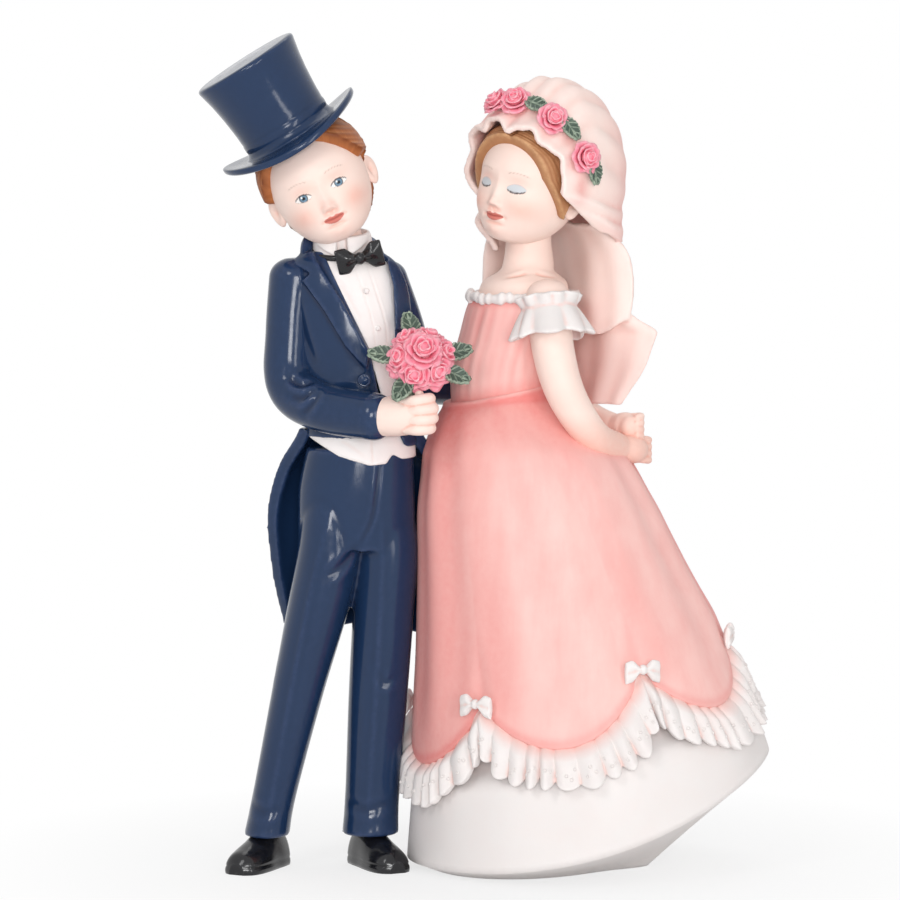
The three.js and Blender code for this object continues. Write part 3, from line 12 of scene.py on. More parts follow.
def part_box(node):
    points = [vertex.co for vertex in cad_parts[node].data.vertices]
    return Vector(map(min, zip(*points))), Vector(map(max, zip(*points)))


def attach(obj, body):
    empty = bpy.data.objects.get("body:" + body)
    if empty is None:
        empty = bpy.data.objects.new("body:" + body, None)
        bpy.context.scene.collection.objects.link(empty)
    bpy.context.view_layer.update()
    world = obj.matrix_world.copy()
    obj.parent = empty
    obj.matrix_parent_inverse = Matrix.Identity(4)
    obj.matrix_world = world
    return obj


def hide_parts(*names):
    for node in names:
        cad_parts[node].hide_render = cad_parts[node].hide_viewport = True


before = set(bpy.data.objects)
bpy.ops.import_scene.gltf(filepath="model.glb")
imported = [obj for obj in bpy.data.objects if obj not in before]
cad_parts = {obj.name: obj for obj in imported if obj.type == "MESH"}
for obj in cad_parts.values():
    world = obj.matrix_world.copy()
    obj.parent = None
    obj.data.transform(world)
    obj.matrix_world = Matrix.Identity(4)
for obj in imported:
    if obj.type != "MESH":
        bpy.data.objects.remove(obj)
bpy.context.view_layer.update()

bl_info = {
    "name": "Wedding Cake Topper",
    "version": (1, 0, 0),
    "blender": (4, 5, 0),
    "location": "View3D > Sidebar > Topper",
    "description": "Models and paints the resin pieces of a wedding cake topper",
    "category": "Object",
}

MM = 0.001

# Where each figure stands in the shared frame, in millimetres.
GROOM = np.array([-24.966, -2.0, 0.0])
BRIDE = np.array([7.234, 0.0, 0.0])

# Heights and places across that several pieces of a figure share, in millimetres.
COAT_HEM = 77.0
COAT_LENGTH = 33.0
WAIST_X = 2.3
NECK_X = -0.7
SKIRT_HEIGHT = 84.0
NECKLINE_X = -1.0
NECKLINE_HEIGHT = 101.85

# Grain of each casting's surface, in millimetres.
COAT_GRAIN = 0.29
TAIL_GRAIN = 0.36
SLEEVE_GRAIN = 0.3
SHIRT_GRAIN = 0.25
COLLAR_GRAIN = 0.2
BOW_TIE_GRAIN = 0.17
TROUSER_GRAIN = 0.4
HAND_GRAIN = 0.18
BOW_GRAIN = 0.16
FRILL_GRAIN = 0.22
ARM_GRAIN = 0.23
VEIL_GRAIN = 0.32


def linear(code):
    """Linear colour of a paint that is given by six hexadecimal digits."""
    shares = [int(code[i : i + 2], 16) / 255 for i in (0, 2, 4)]
    return tuple(s / 12.92 if s <= 0.04045 else ((s + 0.055) / 1.055) ** 2.4 for s in shares)


def paint(name, description, code):
    """Colour property of one paint."""
    return bpy.props.FloatVectorProperty(
        name=name, description=description, subtype="COLOR", size=3, min=0.0, max=1.0, default=linear(code)
    )


def length(name, description, millimetres):
    """Length property, which Blender keeps in metres."""
    return bpy.props.FloatProperty(
        name=name, description=description, subtype="DISTANCE", unit="LENGTH", precision=5,
        min=0.0, default=millimetres * MM,
    )


class TopperPaints(bpy.types.PropertyGroup):
    """Paints of the figurine."""

    navy: paint("Navy", "Gloss paint of the tailcoat, trousers and top hat", "1b3253")
    # Darker navy laid in folds and seams, partly a tint and partly painted shade.
    navy_hollow: paint("Navy in hollows", "Where the navy pools in folds and seams", "17213c")
    # Paler navy on the edges, partly dry brushing and partly a painted highlight.
    navy_crest: paint("Navy on crests", "Where the navy is brushed thin on edges", "46567e")
    black: paint("Black", "Gloss black of the shoes and bow tie", "121216")
    shirt: paint("Shirt", "Warm white of the shirt, collar and waistcoat", "f6f0ee")
    # Pink laid in the shirt's folds, partly a tint and partly painted shade.
    shirt_hollow: paint("Shirt in hollows", "Pink tint in the folds of the shirt", "ead0c8")
    skin: paint("Skin", "Bisque of faces, arms and hands", "fbe3d8")
    # Blush is also laid in the hollows of the skin, where it is painted shade.
    blush: paint("Blush", "Airbrushed blush on cheeks and knuckles", "f0a48f")
    lips: paint("Lips", "Painted lips", "cf5b4c")
    iris: paint("Iris", "Painted irises", "7391a8")
    lash: paint("Lashes", "Painted lash lines", "2b211d")
    lid: paint("Lids", "Eye shadow on the closed lids", "b9cbd6")
    auburn: paint("Auburn", "Hair of the groom", "b9703f")
    light_brown: paint("Light brown", "Hair of the bride", "ba825a")
    pink: paint("Pink", "Pale ground of the dress", "f9cac3")
    # Coral laid in the dress's hollows, along its edges and round its sides, partly a tint and partly painted
    # shade.
    coral: paint("Coral", "Wash that is brushed over the dress", "e67b77")
    white: paint("White", "Petticoat, ruffle, frills and bows", "ebe6e4")
    # Pink laid between the pleats and folds of the white pieces, partly a tint and partly painted shade.
    white_hollow: paint("White in hollows", "Pink tint between the pleats", "efc2b8")
    veil: paint("Veil", "Pale pink of the veil", "fde8e0")
    # Deeper pink laid in the folds of the veil and under the skirt's edge, partly a tint and partly painted
    # shade.
    veil_hollow: paint("Veil in hollows", "Deeper pink in the folds of the veil", "f4b9ae")
    rose: paint("Rose", "Petals", "f4839a")
    # Deeper rose laid between the petals is painted shade.
    rose_hollow: paint("Rose in hollows", "Between the petals", "c9466c")
    leaf: paint("Leaf", "Green of the leaves", "43574a")
    # Pale green on veins and edges, partly dry brushing and partly a painted highlight.
    leaf_crest: paint("Leaf on crests", "Dry-brushed veins and edges of the leaves", "a9b8a4")
    floor: paint("Floor", "Studio floor", "f7f7f7")


class TopperSizes(bpy.types.PropertyGroup):
    """Sizes of the figurine."""

    head_width: length("Head width", "Width of both heads", 17.4)
    head_height: length("Head height", "Height of both heads", 20.8)
    head_depth: length("Head depth", "Depth of both heads", 19.5)
    hair_thickness: length("Hair thickness", "How far the hair stands off the head", 1.3)
    crown_height: length("Crown height", "Height of the top hat's crown", 16.8)
    crown_top: length("Crown top", "Diameter of the crown at its top", 19.6)
    crown_base: length("Crown base", "Diameter of the crown at its brim", 16.2)
    brim_diameter: length("Brim", "Diameter of the top hat's brim", 27.0)
    brim_thickness: length("Brim thickness", "Thickness of the brim", 1.6)
    brim_curl: length("Brim curl", "How far the brim curls up at its sides", 1.7)
    hat_band: length("Hat band", "Height of the band round the crown", 3.0)
    lapel_thickness: length("Lapel", "How far the lapels stand off the coat", 0.9)
    coat_waist: length("Coat waist", "Width of the coat at its waist", 19.4)
    chest_depth: length("Chest", "Depth of the coat at the chest", 16.6)
    sleeve_width: length("Sleeve", "Width of the coat sleeves", 9.2)
    cuff_width: length("Cuff", "Width of the coat cuffs", 8.4)
    tail_thickness: length("Coat tail", "Thickness of the coat tails", 2.2)
    bow_tie_width: length("Bow tie width", "Width of the bow tie", 8.4)
    bow_tie_height: length("Bow tie height", "Height of the bow tie", 4.9)
    shoe_length: length("Shoe length", "Length of the shoes", 15.6)
    shoe_width: length("Shoe width", "Width of the shoes", 7.2)
    shoe_height: length("Shoe height", "Height of the shoes", 6.9)
    posy_diameter: length("Posy", "Diameter of the posy", 10.4)
    posy_rose: length("Posy rose", "Diameter of a rose of the posy", 5.8)
    posy_leaf: length("Posy leaf", "Length of a leaf of the posy", 5.4)
    veil_rose: length("Veil rose", "Diameter of a rose on the veil", 4.7)
    veil_leaf: length("Veil leaf", "Length of a leaf on the veil", 4.8)
    hem_width: length("Hem width", "Width of the dress at its hem", 68.0)
    hem_depth: length("Hem depth", "Depth of the dress at its hem", 58.0)
    waist_width: length("Waist", "Width of the dress at its waist", 19.0)
    ruffle_width: length("Ruffle", "Height of the ruffle below the pink skirt", 7.6)
    pleat_depth: length("Pleat depth", "Depth of the ruffle's pleats", 1.5)
    pleat_count: bpy.props.IntProperty(
        name="Pleats", description="Gathers in the ruffle", min=12, max=90, default=66
    )
    hem_bow: length("Hem bow", "Width of the bows on the hem", 6.6)
    arm_width: length("Arm", "Width of the bride's upper arms", 7.6)
    wrist_width: length("Wrist", "Width of the bride's wrists", 5.2)
    frill_width: length("Sleeve frill", "Width of the frills on the upper arms", 13.4)
    veil_thickness: length("Veil thickness", "Thickness of the veil's cast sheet", 1.1)


def size(name):
    """A size of the figurine in millimetres."""
    return getattr(bpy.context.scene.topper_sizes, name) / MM


def colour(name):
    """A paint of the figurine with full cover."""
    return (*getattr(bpy.context.scene.topper_paints, name), 1.0)


def mix(first, second, share):
    """Value between two others."""
    return first + (second - first) * share


def step(low, high, value):
    """Smooth rise from 0 at low to 1 at high."""
    t = np.clip((value - low) / (high - low), 0.0, 1.0)
    return t * t * (3 - 2 * t)


def bump(x, z, centre, reach):
    """Round swelling of height 1 about a spot."""
    return np.exp(-(((x - centre[0]) / reach[0]) ** 2) - ((z - centre[1]) / reach[1]) ** 2)


def spline(rows, share):
    """Smooth run through rows of numbers, at shares from 0 to 1 of the way."""
    rows = np.asarray(rows, float)
    last = len(rows) - 1
    at = np.clip(np.asarray(share, float), 0.0, 1.0) * last
    i = np.minimum(at.astype(int), last - 1)
    w = (at - i)[..., None]
    before, here, after = rows[np.maximum(i - 1, 0)], rows[i], rows[i + 1]
    beyond = rows[np.minimum(i + 2, last)]
    leave, arrive = (after - before) / 2, (beyond - here) / 2
    cubic = (2 * here - 2 * after + leave + arrive) * w**3
    return cubic + (3 * after - 3 * here - 2 * leave - arrive) * w**2 + leave * w + here


def ripple(share, seed, waves):
    """Uneven wave round a closed loop, about -1 to 1, the same at each run."""
    draw = np.random.default_rng(seed)
    total = np.zeros_like(share)
    for k in waves:
        total += draw.uniform(0.5, 1.0) * np.sin(2 * math.pi * (k * share + draw.random()))
    return total / len(waves)


def turned(rx, ry, rz):
    """Turn about Z, then Y, then X, by degrees."""
    rx, ry, rz = (math.radians(a) for a in (rx, ry, rz))
    about_x = np.array([[1, 0, 0], [0, math.cos(rx), -math.sin(rx)], [0, math.sin(rx), math.cos(rx)]])
    about_y = np.array([[math.cos(ry), 0, math.sin(ry)], [0, 1, 0], [-math.sin(ry), 0, math.cos(ry)]])
    about_z = np.array([[math.cos(rz), -math.sin(rz), 0], [math.sin(rz), math.cos(rz), 0], [0, 0, 1]])
    return about_x @ about_y @ about_z


def towards(axis, heading):
    """Turn that brings an axis onto a heading by the shortest way."""
    quaternion = Vector(axis).rotation_difference(Vector(heading).normalized())
    return np.array(quaternion.to_matrix())


def stacked(*parts):
    """Rows of x, y and z from three arrays."""
    return np.stack(np.broadcast_arrays(*parts), axis=-1)


def ends(share, cap):
    """Way along a tube and how far it is open there, for a tube whose ends close within a cap."""
    along = np.clip((share - cap) / (1 - 2 * cap), 0.0, 1.0)
    opened = np.clip(np.minimum(share, 1 - share) / cap, 0.0, 1.0)
    return along, opened


def read(mesh):
    """Points of a mesh in millimetres."""
    flat = np.empty(len(mesh.vertices) * 3)
    mesh.vertices.foreach_get("co", flat)
    return flat.reshape(-1, 3) / MM


def write(mesh, points):
    """Moves the points of a mesh, given in millimetres."""
    mesh.vertices.foreach_set("co", (points * MM).ravel())
    mesh.update()


def facing(mesh):
    """Outward direction at each point of a mesh."""
    flat = np.empty(len(mesh.vertices) * 3)
    mesh.vertex_normals.foreach_get("vector", flat)
    return flat.reshape(-1, 3)


def keep(mesh, name, values):
    """Keeps one number for each point of a mesh, for its paint."""
    attribute = mesh.attributes.get(name) or mesh.attributes.new(name, "FLOAT", "POINT")
    attribute.data.foreach_set("value", np.asarray(values, np.float32))


def cleaned(mesh):
    """Merges doubles and turns the faces of a mesh outwards."""
    bm = bmesh.new()
    bm.from_mesh(mesh)
    bmesh.ops.remove_doubles(bm, verts=bm.verts, dist=2e-6)
    bmesh.ops.dissolve_degenerate(bm, edges=bm.edges, dist=1e-7)
    bmesh.ops.recalc_face_normals(bm, faces=bm.faces)
    bm.to_mesh(mesh)
    bm.free()
    return mesh


def warped(columns, rows, place):
    """Grid whose points lie at place(u, v) in millimetres, with u and v kept as its UV map."""
    bm = bmesh.new()
    bmesh.ops.create_grid(bm, x_segments=columns, y_segments=rows, size=0.5)
    mesh = bpy.data.meshes.new("grid")
    bm.to_mesh(mesh)
    bm.free()
    u, v, _ = (read(mesh) * MM + 0.5).T
    corners = np.empty(len(mesh.loops), int)
    mesh.loops.foreach_get("vertex_index", corners)
    layer = mesh.uv_layers.new(name="weave")
    layer.data.foreach_set("uv", np.stack([u[corners], v[corners]], 1).ravel())
    write(mesh, place(u, v))
    return cleaned(mesh)


def joined(*meshes):
    """One mesh of several."""
    bm = bmesh.new()
    for mesh in meshes:
        bm.from_mesh(mesh)
    whole = bpy.data.meshes.new("joined")
    bm.to_mesh(whole)
    bm.free()
    return whole


def moved(mesh, turn, shift):
    """Turns and shifts a mesh, in millimetres."""
    write(mesh, read(mesh) @ np.asarray(turn).T + np.asarray(shift))
    return mesh


def with_modifier(mesh, kind, **settings):
    """Mesh with one modifier applied."""
    work = bpy.data.objects.new("work", mesh)
    bpy.context.scene.collection.objects.link(work)
    modifier = work.modifiers.new("work", kind)
    for name, value in settings.items():
        setattr(modifier, name, value)
    graph = bpy.context.evaluated_depsgraph_get()
    made = bpy.data.meshes.new_from_object(work.evaluated_get(graph))
    bpy.data.objects.remove(work)
    return made


def thickened(mesh, thickness):
    """Closed sheet of a thickness in millimetres about an open one."""
    return with_modifier(mesh, "SOLIDIFY", thickness=thickness * MM, offset=0.0)


def carved(mesh, tool, operation):
    """Mesh cut or trimmed by a tool mesh."""
    cutter = bpy.data.objects.new("cutter", tool)
    bpy.context.scene.collection.objects.link(cutter)
    made = with_modifier(mesh, "BOOLEAN", object=cutter, operation=operation, solver="EXACT")
    bpy.data.objects.remove(cutter)
    return made


def relaxed(mesh, values, times, factor=0.5):
    """Values at the points of a mesh, evened out with those of their neighbours."""
    pairs = np.empty(len(mesh.edges) * 2, int)
    mesh.edges.foreach_get("vertices", pairs)
    one, other = pairs.reshape(-1, 2).T
    count = np.bincount(pairs, minlength=len(mesh.vertices)).clip(1)
    values = np.array(values, float)
    flat = values.reshape(len(values), -1)
    for _ in range(times):
        for k in range(flat.shape[1]):
            column = flat[:, k]
            near = np.bincount(one, column[other], len(column)) + np.bincount(other, column[one], len(column))
            flat[:, k] += factor * (near / count - column)
    return values


def cast(meshes, grain, times):
    """One casting of several closed meshes, its edges softened as poured resin has them."""
    whole = with_modifier(joined(*meshes), "REMESH", mode="VOXEL", voxel_size=grain * MM)
    write(whole, relaxed(whole, read(whole), times))
    return whole


def shaded(mesh, radius, times=3):
    """Keeps where a mesh is hollow and where it is crested, for the darker paint in hollows, partly washes
    and partly painted shade, and the paler paint on crests, partly dry brushing and partly a painted
    highlight.
    """
    points = read(mesh)
    normals = facing(mesh)
    drift = relaxed(mesh, points, 1, 1.0) - points
    pairs = np.empty(len(mesh.edges) * 2, int)
    mesh.edges.foreach_get("vertices", pairs)
    one, other = pairs.reshape(-1, 2).T
    spans = np.linalg.norm(points[one] - points[other], axis=1) ** 2
    count = np.bincount(pairs, minlength=len(points)).clip(1)
    spread = (np.bincount(one, spans, len(points)) + np.bincount(other, spans, len(points))) / count
    bend = np.sum(drift * normals, axis=1) / spread.clip(1e-6) * 4
    bend = relaxed(mesh, np.clip(bend, -4 / radius, 4 / radius), times) * radius
    keep(mesh, "hollow", np.clip(bend, 0, 1))
    keep(mesh, "crest", np.clip(-bend, 0, 1))
    return mesh


class Sculpt:
    """A mesh under the modelling tool, which presses creases in and raises folds along paths."""

    def __init__(self, mesh):
        self.mesh = mesh
        self.points = read(mesh)
        self.normals = facing(mesh)
        self.tint_and_shade = np.zeros(len(self.points))
        faces = [tuple(face.vertices) for face in mesh.polygons]
        self.surface = BVHTree.FromPolygons(self.points.tolist(), faces)

    def path(self, spots, azimuth=0.0, steps=28):
        """Path on the surface below spots of a level view, each across and up in millimetres."""
        turn = math.radians(azimuth)
        side = np.array([math.cos(turn), math.sin(turn), 0])
        inwards = np.array([-math.sin(turn), math.cos(turn), 0])
        found = []
        for across, up in spline(spots, np.linspace(0, 1, steps)):
            start = side * across + np.array([0, 0, up]) - inwards * 120
            hit = self.surface.ray_cast(Vector(start), Vector(inwards))[0]
            if hit is not None:
                found.append(hit)
        return np.array(found)

    def stroke(self, path, width, depth, lip=0.0, tint_and_shade=0.0):
        """Presses a crease along a path, or raises a fold where depth is below 0."""
        if len(path) < 2:
            return
        low, high = path.min(0) - 4 * width, path.max(0) + 4 * width
        near = np.flatnonzero(np.all((self.points > low) & (self.points < high), axis=1))
        spots = self.points[near]
        best = np.full(len(near), np.inf)
        along = np.zeros(len(near))
        runs = np.concatenate([[0], np.cumsum(np.linalg.norm(np.diff(path, axis=0), axis=1))])
        for k in range(len(path) - 1):
            leg = path[k + 1] - path[k]
            span = max(leg @ leg, 1e-9)
            share = np.clip((spots - path[k]) @ leg / span, 0, 1)
            away = np.linalg.norm(spots - path[k] - share[:, None] * leg, axis=1)
            closer = away < best
            best[closer] = away[closer]
            along[closer] = (runs[k] + share[closer] * math.sqrt(span)) / runs[-1]
        fade = np.sqrt(np.sin(math.pi * np.clip(along, 0.01, 0.99)))
        dent = np.exp(-((best / width) ** 2)) * fade
        rim = np.exp(-(((best - 1.8 * width) / width) ** 2)) * fade
        self.points[near] += self.normals[near] * (lip * rim - depth * dent)[:, None]
        # Darker paint along the pressed crease: partly a tint, partly painted shade in it.
        self.tint_and_shade[near] = np.maximum(self.tint_and_shade[near], tint_and_shade * dent)

    def done(self):
        """Mesh with its strokes, and the darker paint in its creases, partly a tint and partly painted shade,
        kept for the paint.
        """
        write(self.mesh, self.points)
        keep(self.mesh, "tint_and_shade", self.tint_and_shade)
        return self.mesh


def piece(name, mesh, material, slot, *nodes):
    """Finished piece that stands for CAD nodes."""
    made = bpy.data.objects.new(name, mesh)
    bpy.context.scene.collection.objects.link(made)
    mesh.name = name
    mesh.materials.clear()
    mesh.materials.append(material)
    mesh.shade_smooth()
    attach(made, "root")
    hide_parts(*nodes)
    return made


def tube(path, widths, columns, rows, cap=0.04, swell=None):
    """Round limb along a smooth path with closed ends. swell adds to its radius at u and v."""
    def place(u, v):
        along, opened = ends(v, cap)
        centre = spline(path, along)
        lead = spline(path, np.minimum(along + 0.01, 1)) - spline(path, np.maximum(along - 0.01, 0))
        lead /= np.linalg.norm(lead, axis=1)[:, None]
        across = np.cross(lead, np.array([0.13, 0.93, 0.34]))
        across /= np.linalg.norm(across, axis=1)[:, None]
        aside = np.cross(lead, across)
        radius = spline([[w] for w in widths], along)[:, 0] / 2
        if swell is not None:
            radius = radius + swell(u, along)
        round_off = np.sqrt(np.clip(1 - (1 - opened) ** 2, 0, 1))
        reach = (radius * round_off)[:, None]
        dome = np.where(v < 0.5, -1.0, 1.0) * (1 - opened) * radius * 0.8
        angle = 2 * math.pi * u[:, None]
        return centre + lead * dome[:, None] + (across * np.cos(angle) + aside * np.sin(angle)) * reach

    return warped(columns, rows, place)


def loft(rows, columns, count, cap=0.03, grow=0.0, warp=None):
    """Upright body of level ovals. A row holds height, x, y, width and depth."""
    def place(u, v):
        along, opened = ends(v, cap)
        z, x, y, width, depth = spline(rows, along).T
        angle = 2 * math.pi * u
        out = grow + (0 if warp is None else warp(angle, along))
        across = x + np.cos(angle) * (width / 2 + out) * opened
        return stacked(across, y + np.sin(angle) * (depth / 2 + out) * opened, z)

    return warped(columns, count, place)


def prism(outline, front, back):
    """Closed prism of an outline in the front view, from one y to another."""
    bm = bmesh.new()
    corners = [bm.verts.new((x * MM, front * MM, z * MM)) for x, z in outline]
    face = bm.faces.new(corners)
    made = bmesh.ops.extrude_face_region(bm, geom=[face])
    pushed = [item for item in made["geom"] if isinstance(item, bmesh.types.BMVert)]
    bmesh.ops.translate(bm, verts=pushed, vec=(0, (back - front) * MM, 0))
    bmesh.ops.triangulate(bm, faces=[f for f in bm.faces if len(f.verts) > 4])
    bmesh.ops.recalc_face_normals(bm, faces=bm.faces)
    mesh = bpy.data.meshes.new("prism")
    bm.to_mesh(mesh)
    bm.free()
    return mesh


def ball(centre, reach, columns=24, rows=14):
    """Rounded pellet about a centre."""
    def place(u, v):
        angle, rise = 2 * math.pi * u, math.pi * (v - 0.5)
        level = np.cos(rise)
        shape = stacked(np.cos(angle) * level, np.sin(angle) * level, np.sin(rise))
        return np.asarray(centre) + shape * np.asarray(reach)

    return warped(columns, rows, place)


def node(tree, kind, settings=None, **inputs):
    """Shader node with its settings, and its inputs set or linked."""
    made = tree.nodes.new(kind)
    for name, value in (settings or {}).items():
        setattr(made, name, value)
    for name, value in inputs.items():
        socket = made.inputs[name.replace("_", " ")]
        if isinstance(value, bpy.types.NodeSocket):
            tree.links.new(value, socket)
        else:
            socket.default_value = value
    return made


def blend(tree, factor, first, second):
    """Colour between two others."""
    made = tree.nodes.new("ShaderNodeMix")
    made.data_type = "RGBA"
    for index, value in ((0, factor), (6, first), (7, second)):
        if isinstance(value, bpy.types.NodeSocket):
            tree.links.new(value, made.inputs[index])
        else:
            made.inputs[index].default_value = value
    return made.outputs[2]


def level(tree, value, low, high, least, most):
    """Value stretched from one range to another."""
    made = node(
        tree, "ShaderNodeMapRange", Value=value, From_Min=low, From_Max=high, To_Min=least, To_Max=most)
    return made.outputs[0]


def product(tree, first, second):
    """Product of two values."""
    made = node(tree, "ShaderNodeMath", {"operation": "MULTIPLY"})
    tree.links.new(first, made.inputs[0])
    tree.links.new(second, made.inputs[1])
    return made.outputs[0]


def held(tree, name, output="Fac"):
    """Value that the piece keeps for its paint."""
    return node(tree, "ShaderNodeAttribute", {"attribute_name": name}).outputs[output]


def noise(tree, source, scale, detail=4.0, stretch=(1.0, 1.0, 1.0)):
    """Uneven pattern on the piece's own coordinates, or on its UV map."""
    if source == "UV":
        spot = node(tree, "ShaderNodeUVMap", {"uv_map": "weave"}).outputs["UV"]
    else:
        spot = node(tree, "ShaderNodeTexCoord").outputs["Object"]
    run = node(tree, "ShaderNodeMapping", Vector=spot, Scale=stretch).outputs["Vector"]
    return node(tree, "ShaderNodeTexNoise", Vector=run, Scale=scale, Detail=detail, Roughness=0.6).outputs[0]


def resin(name, ground, hollow, crest, roughness=0.55, mottle=0.12, hollow_paint_and_shade=0.6, crest_paint_and_highlight=0.35, tint_and_shade=None,
          streak=None, coat=0.0, grain=0.06, shine=0.5, features=False):
    """Hand-painted resin: a mottled ground, darker paint in hollows that is partly washes and partly painted
    shade, and paler paint on crests that is partly dry brushing and partly a painted highlight.
    """
    material = bpy.data.materials.new(name)
    material.use_nodes = True
    tree = material.node_tree
    tree.nodes.clear()
    uneven = noise(tree, "Object", 170.0)
    tone = blend(tree, level(tree, uneven, 0.35, 0.7, 0.0, mottle), ground, hollow)
    fine = noise(tree, "Object", 900.0, 6.0)
    height = fine
    if streak is not None:
        source, stretch, share = streak
        lines = noise(tree, source, 1.0, 6.0, stretch)
        tone = blend(tree, level(tree, lines, 0.42, 0.72, 0.0, share), tone, hollow)
        tone = blend(tree, level(tree, lines, 0.42, 0.22, 0.0, share * 0.7), tone, crest)
        height = lines
    # Hollow colour laid into the hollows: partly washes, partly painted shade.
    hollow_paint_and_shade_mix = product(tree, held(tree, "hollow"), level(tree, uneven, 0.2, 0.8, hollow_paint_and_shade * 0.7, hollow_paint_and_shade * 1.2))
    tone = blend(tree, hollow_paint_and_shade_mix, tone, hollow)
    # Colour laid along the kept marks, which are partly tints and partly painted shade in creases, under
    # edges and round turning sides.
    tint_and_shade_mix = product(tree, held(tree, "tint_and_shade"), level(tree, fine, 0.25, 0.7, 0.72, 1.0))
    tone = blend(tree, tint_and_shade_mix, tone, hollow if tint_and_shade is None else tint_and_shade)
    # Crest colour laid on the crests: partly dry brushing, partly a painted highlight.
    brushed = product(tree, held(tree, "crest"), level(tree, fine, 0.35, 0.65, crest_paint_and_highlight * 0.4, crest_paint_and_highlight * 1.3))
    tone = blend(tree, brushed, tone, crest)
    if features:
        tone = blend(tree, product(tree, held(tree, "blush"), level(tree, fine, 0.2, 0.8, 0.8, 1.0)), tone,
                     colour("blush"))
        tone = blend(tree, held(tree, "features", "Alpha"), tone, held(tree, "features", "Color"))
    raised = node(tree, "ShaderNodeBump", Height=height, Strength=grain * 6, Distance=grain * MM)
    shader = node(tree, "ShaderNodeBsdfPrincipled", Base_Color=tone, Normal=raised.outputs["Normal"])
    shader.inputs["Specular IOR Level"].default_value = shine
    shader.inputs["Coat Weight"].default_value = coat
    shader.inputs["Coat Roughness"].default_value = 0.16
    rough = level(tree, fine, 0.3, 0.7, roughness - 0.06, roughness + 0.06)
    tree.links.new(rough, shader.inputs["Roughness"])
    node(tree, "ShaderNodeOutputMaterial", Surface=shader.outputs["BSDF"])
    return material


def finish(name):
    """Paint finish of that name, mixed once and then shared by its pieces."""
    ready = bpy.data.materials.get(name)
    if ready is not None:
        return ready
    # Each recipe gives the ground, then the colour laid in hollows, partly a tint and partly painted shade,
    # then the colour laid on crests, partly dry brushing and partly a painted highlight.
    recipes = {
        "navy_gloss": lambda: resin(
            name, colour("navy"), colour("navy_hollow"), colour("navy_crest"), roughness=0.15, mottle=0.1,
            hollow_paint_and_shade=0.6, crest_paint_and_highlight=0.3, coat=0.06, grain=0.012, shine=0.3),
        "black_gloss": lambda: resin(
            name, colour("black"), (0.002, 0.002, 0.003, 1.0), (0.07, 0.07, 0.08, 1.0), roughness=0.18,
            mottle=0.2, crest_paint_and_highlight=0.15, coat=0.1, grain=0.012, shine=0.4),
        "shirt_white": lambda: resin(
            name, colour("shirt"), colour("shirt_hollow"), colour("white"), mottle=0.08, hollow_paint_and_shade=0.5, crest_paint_and_highlight=0.3,
            shine=0.3),
        "bisque": lambda: resin(
            name, colour("skin"), colour("blush"), colour("skin"), roughness=0.5, mottle=0.08, hollow_paint_and_shade=0.55,
            crest_paint_and_highlight=0.1, grain=0.03, shine=0.35),
        "face_paint": lambda: resin(
            name, colour("skin"), colour("blush"), colour("skin"), roughness=0.5, mottle=0.08, hollow_paint_and_shade=0.4,
            crest_paint_and_highlight=0.1, grain=0.03, shine=0.35, features=True),
        "auburn_hair": lambda: resin(
            name, colour("auburn"), linear_with("743818"), linear_with("dfa473"), roughness=0.5, mottle=0.25,
            hollow_paint_and_shade=0.9, crest_paint_and_highlight=0.55, streak=("UV", (90.0, 5.0, 1.0), 0.34), shine=0.3),
        "brown_hair": lambda: resin(
            name, colour("light_brown"), linear_with("85522f"), linear_with("ddb184"), roughness=0.5,
            mottle=0.25, hollow_paint_and_shade=0.85, crest_paint_and_highlight=0.55, streak=("Object", (420.0, 420.0, 420.0), 0.3), shine=0.3),
        "dress_pink": lambda: resin(
            name, colour("pink"), colour("coral"), linear_with("fbddd5"), mottle=0.12, hollow_paint_and_shade=0.6, crest_paint_and_highlight=0.25,
            streak=("Object", (300.0, 300.0, 16.0), 0.16), grain=0.05, shine=0.3),
        "lace_white": lambda: resin(
            name, colour("white"), colour("white_hollow"), linear_with("f6f1ef"), mottle=0.06, hollow_paint_and_shade=0.6,
            crest_paint_and_highlight=0.4, tint_and_shade=colour("veil_hollow"), shine=0.3),
        "veil_pink": lambda: resin(
            name, colour("veil"), colour("veil_hollow"), linear_with("feeee8"), mottle=0.12, hollow_paint_and_shade=0.4,
            crest_paint_and_highlight=0.35, streak=("Object", (160.0, 160.0, 50.0), 0.12), grain=0.04,
            tint_and_shade=colour("coral"), shine=0.3),
        "rose_pink": lambda: resin(
            name, colour("rose"), colour("rose_hollow"), linear_with("fcc6ce"), roughness=0.45, mottle=0.2,
            hollow_paint_and_shade=0.9, crest_paint_and_highlight=0.7, shine=0.4),
        "leaf_green": lambda: resin(
            name, colour("leaf"), linear_with("232e27"), colour("leaf_crest"), roughness=0.45, mottle=0.35,
            hollow_paint_and_shade=0.9, crest_paint_and_highlight=0.8, shine=0.35),
    }
    return recipes[name]()


def linear_with(code):
    """Linear colour with full cover."""
    return (*linear(code), 1.0)


def spun(profile, steps):
    """Solid of revolution about Z from a profile of radius and height, in millimetres."""
    bm = bmesh.new()
    rim = [bm.verts.new((radius * MM, 0, height * MM)) for radius, height in profile]
    line = [bm.edges.new(pair) for pair in zip(rim, rim[1:])]
    bmesh.ops.spin(
        bm, geom=rim + line, cent=(0, 0, 0), axis=(0, 0, 1), angle=2 * math.pi, steps=steps, use_merge=True
    )
    mesh = bpy.data.meshes.new("spun")
    bm.to_mesh(mesh)
    bm.free()
    return cleaned(mesh)


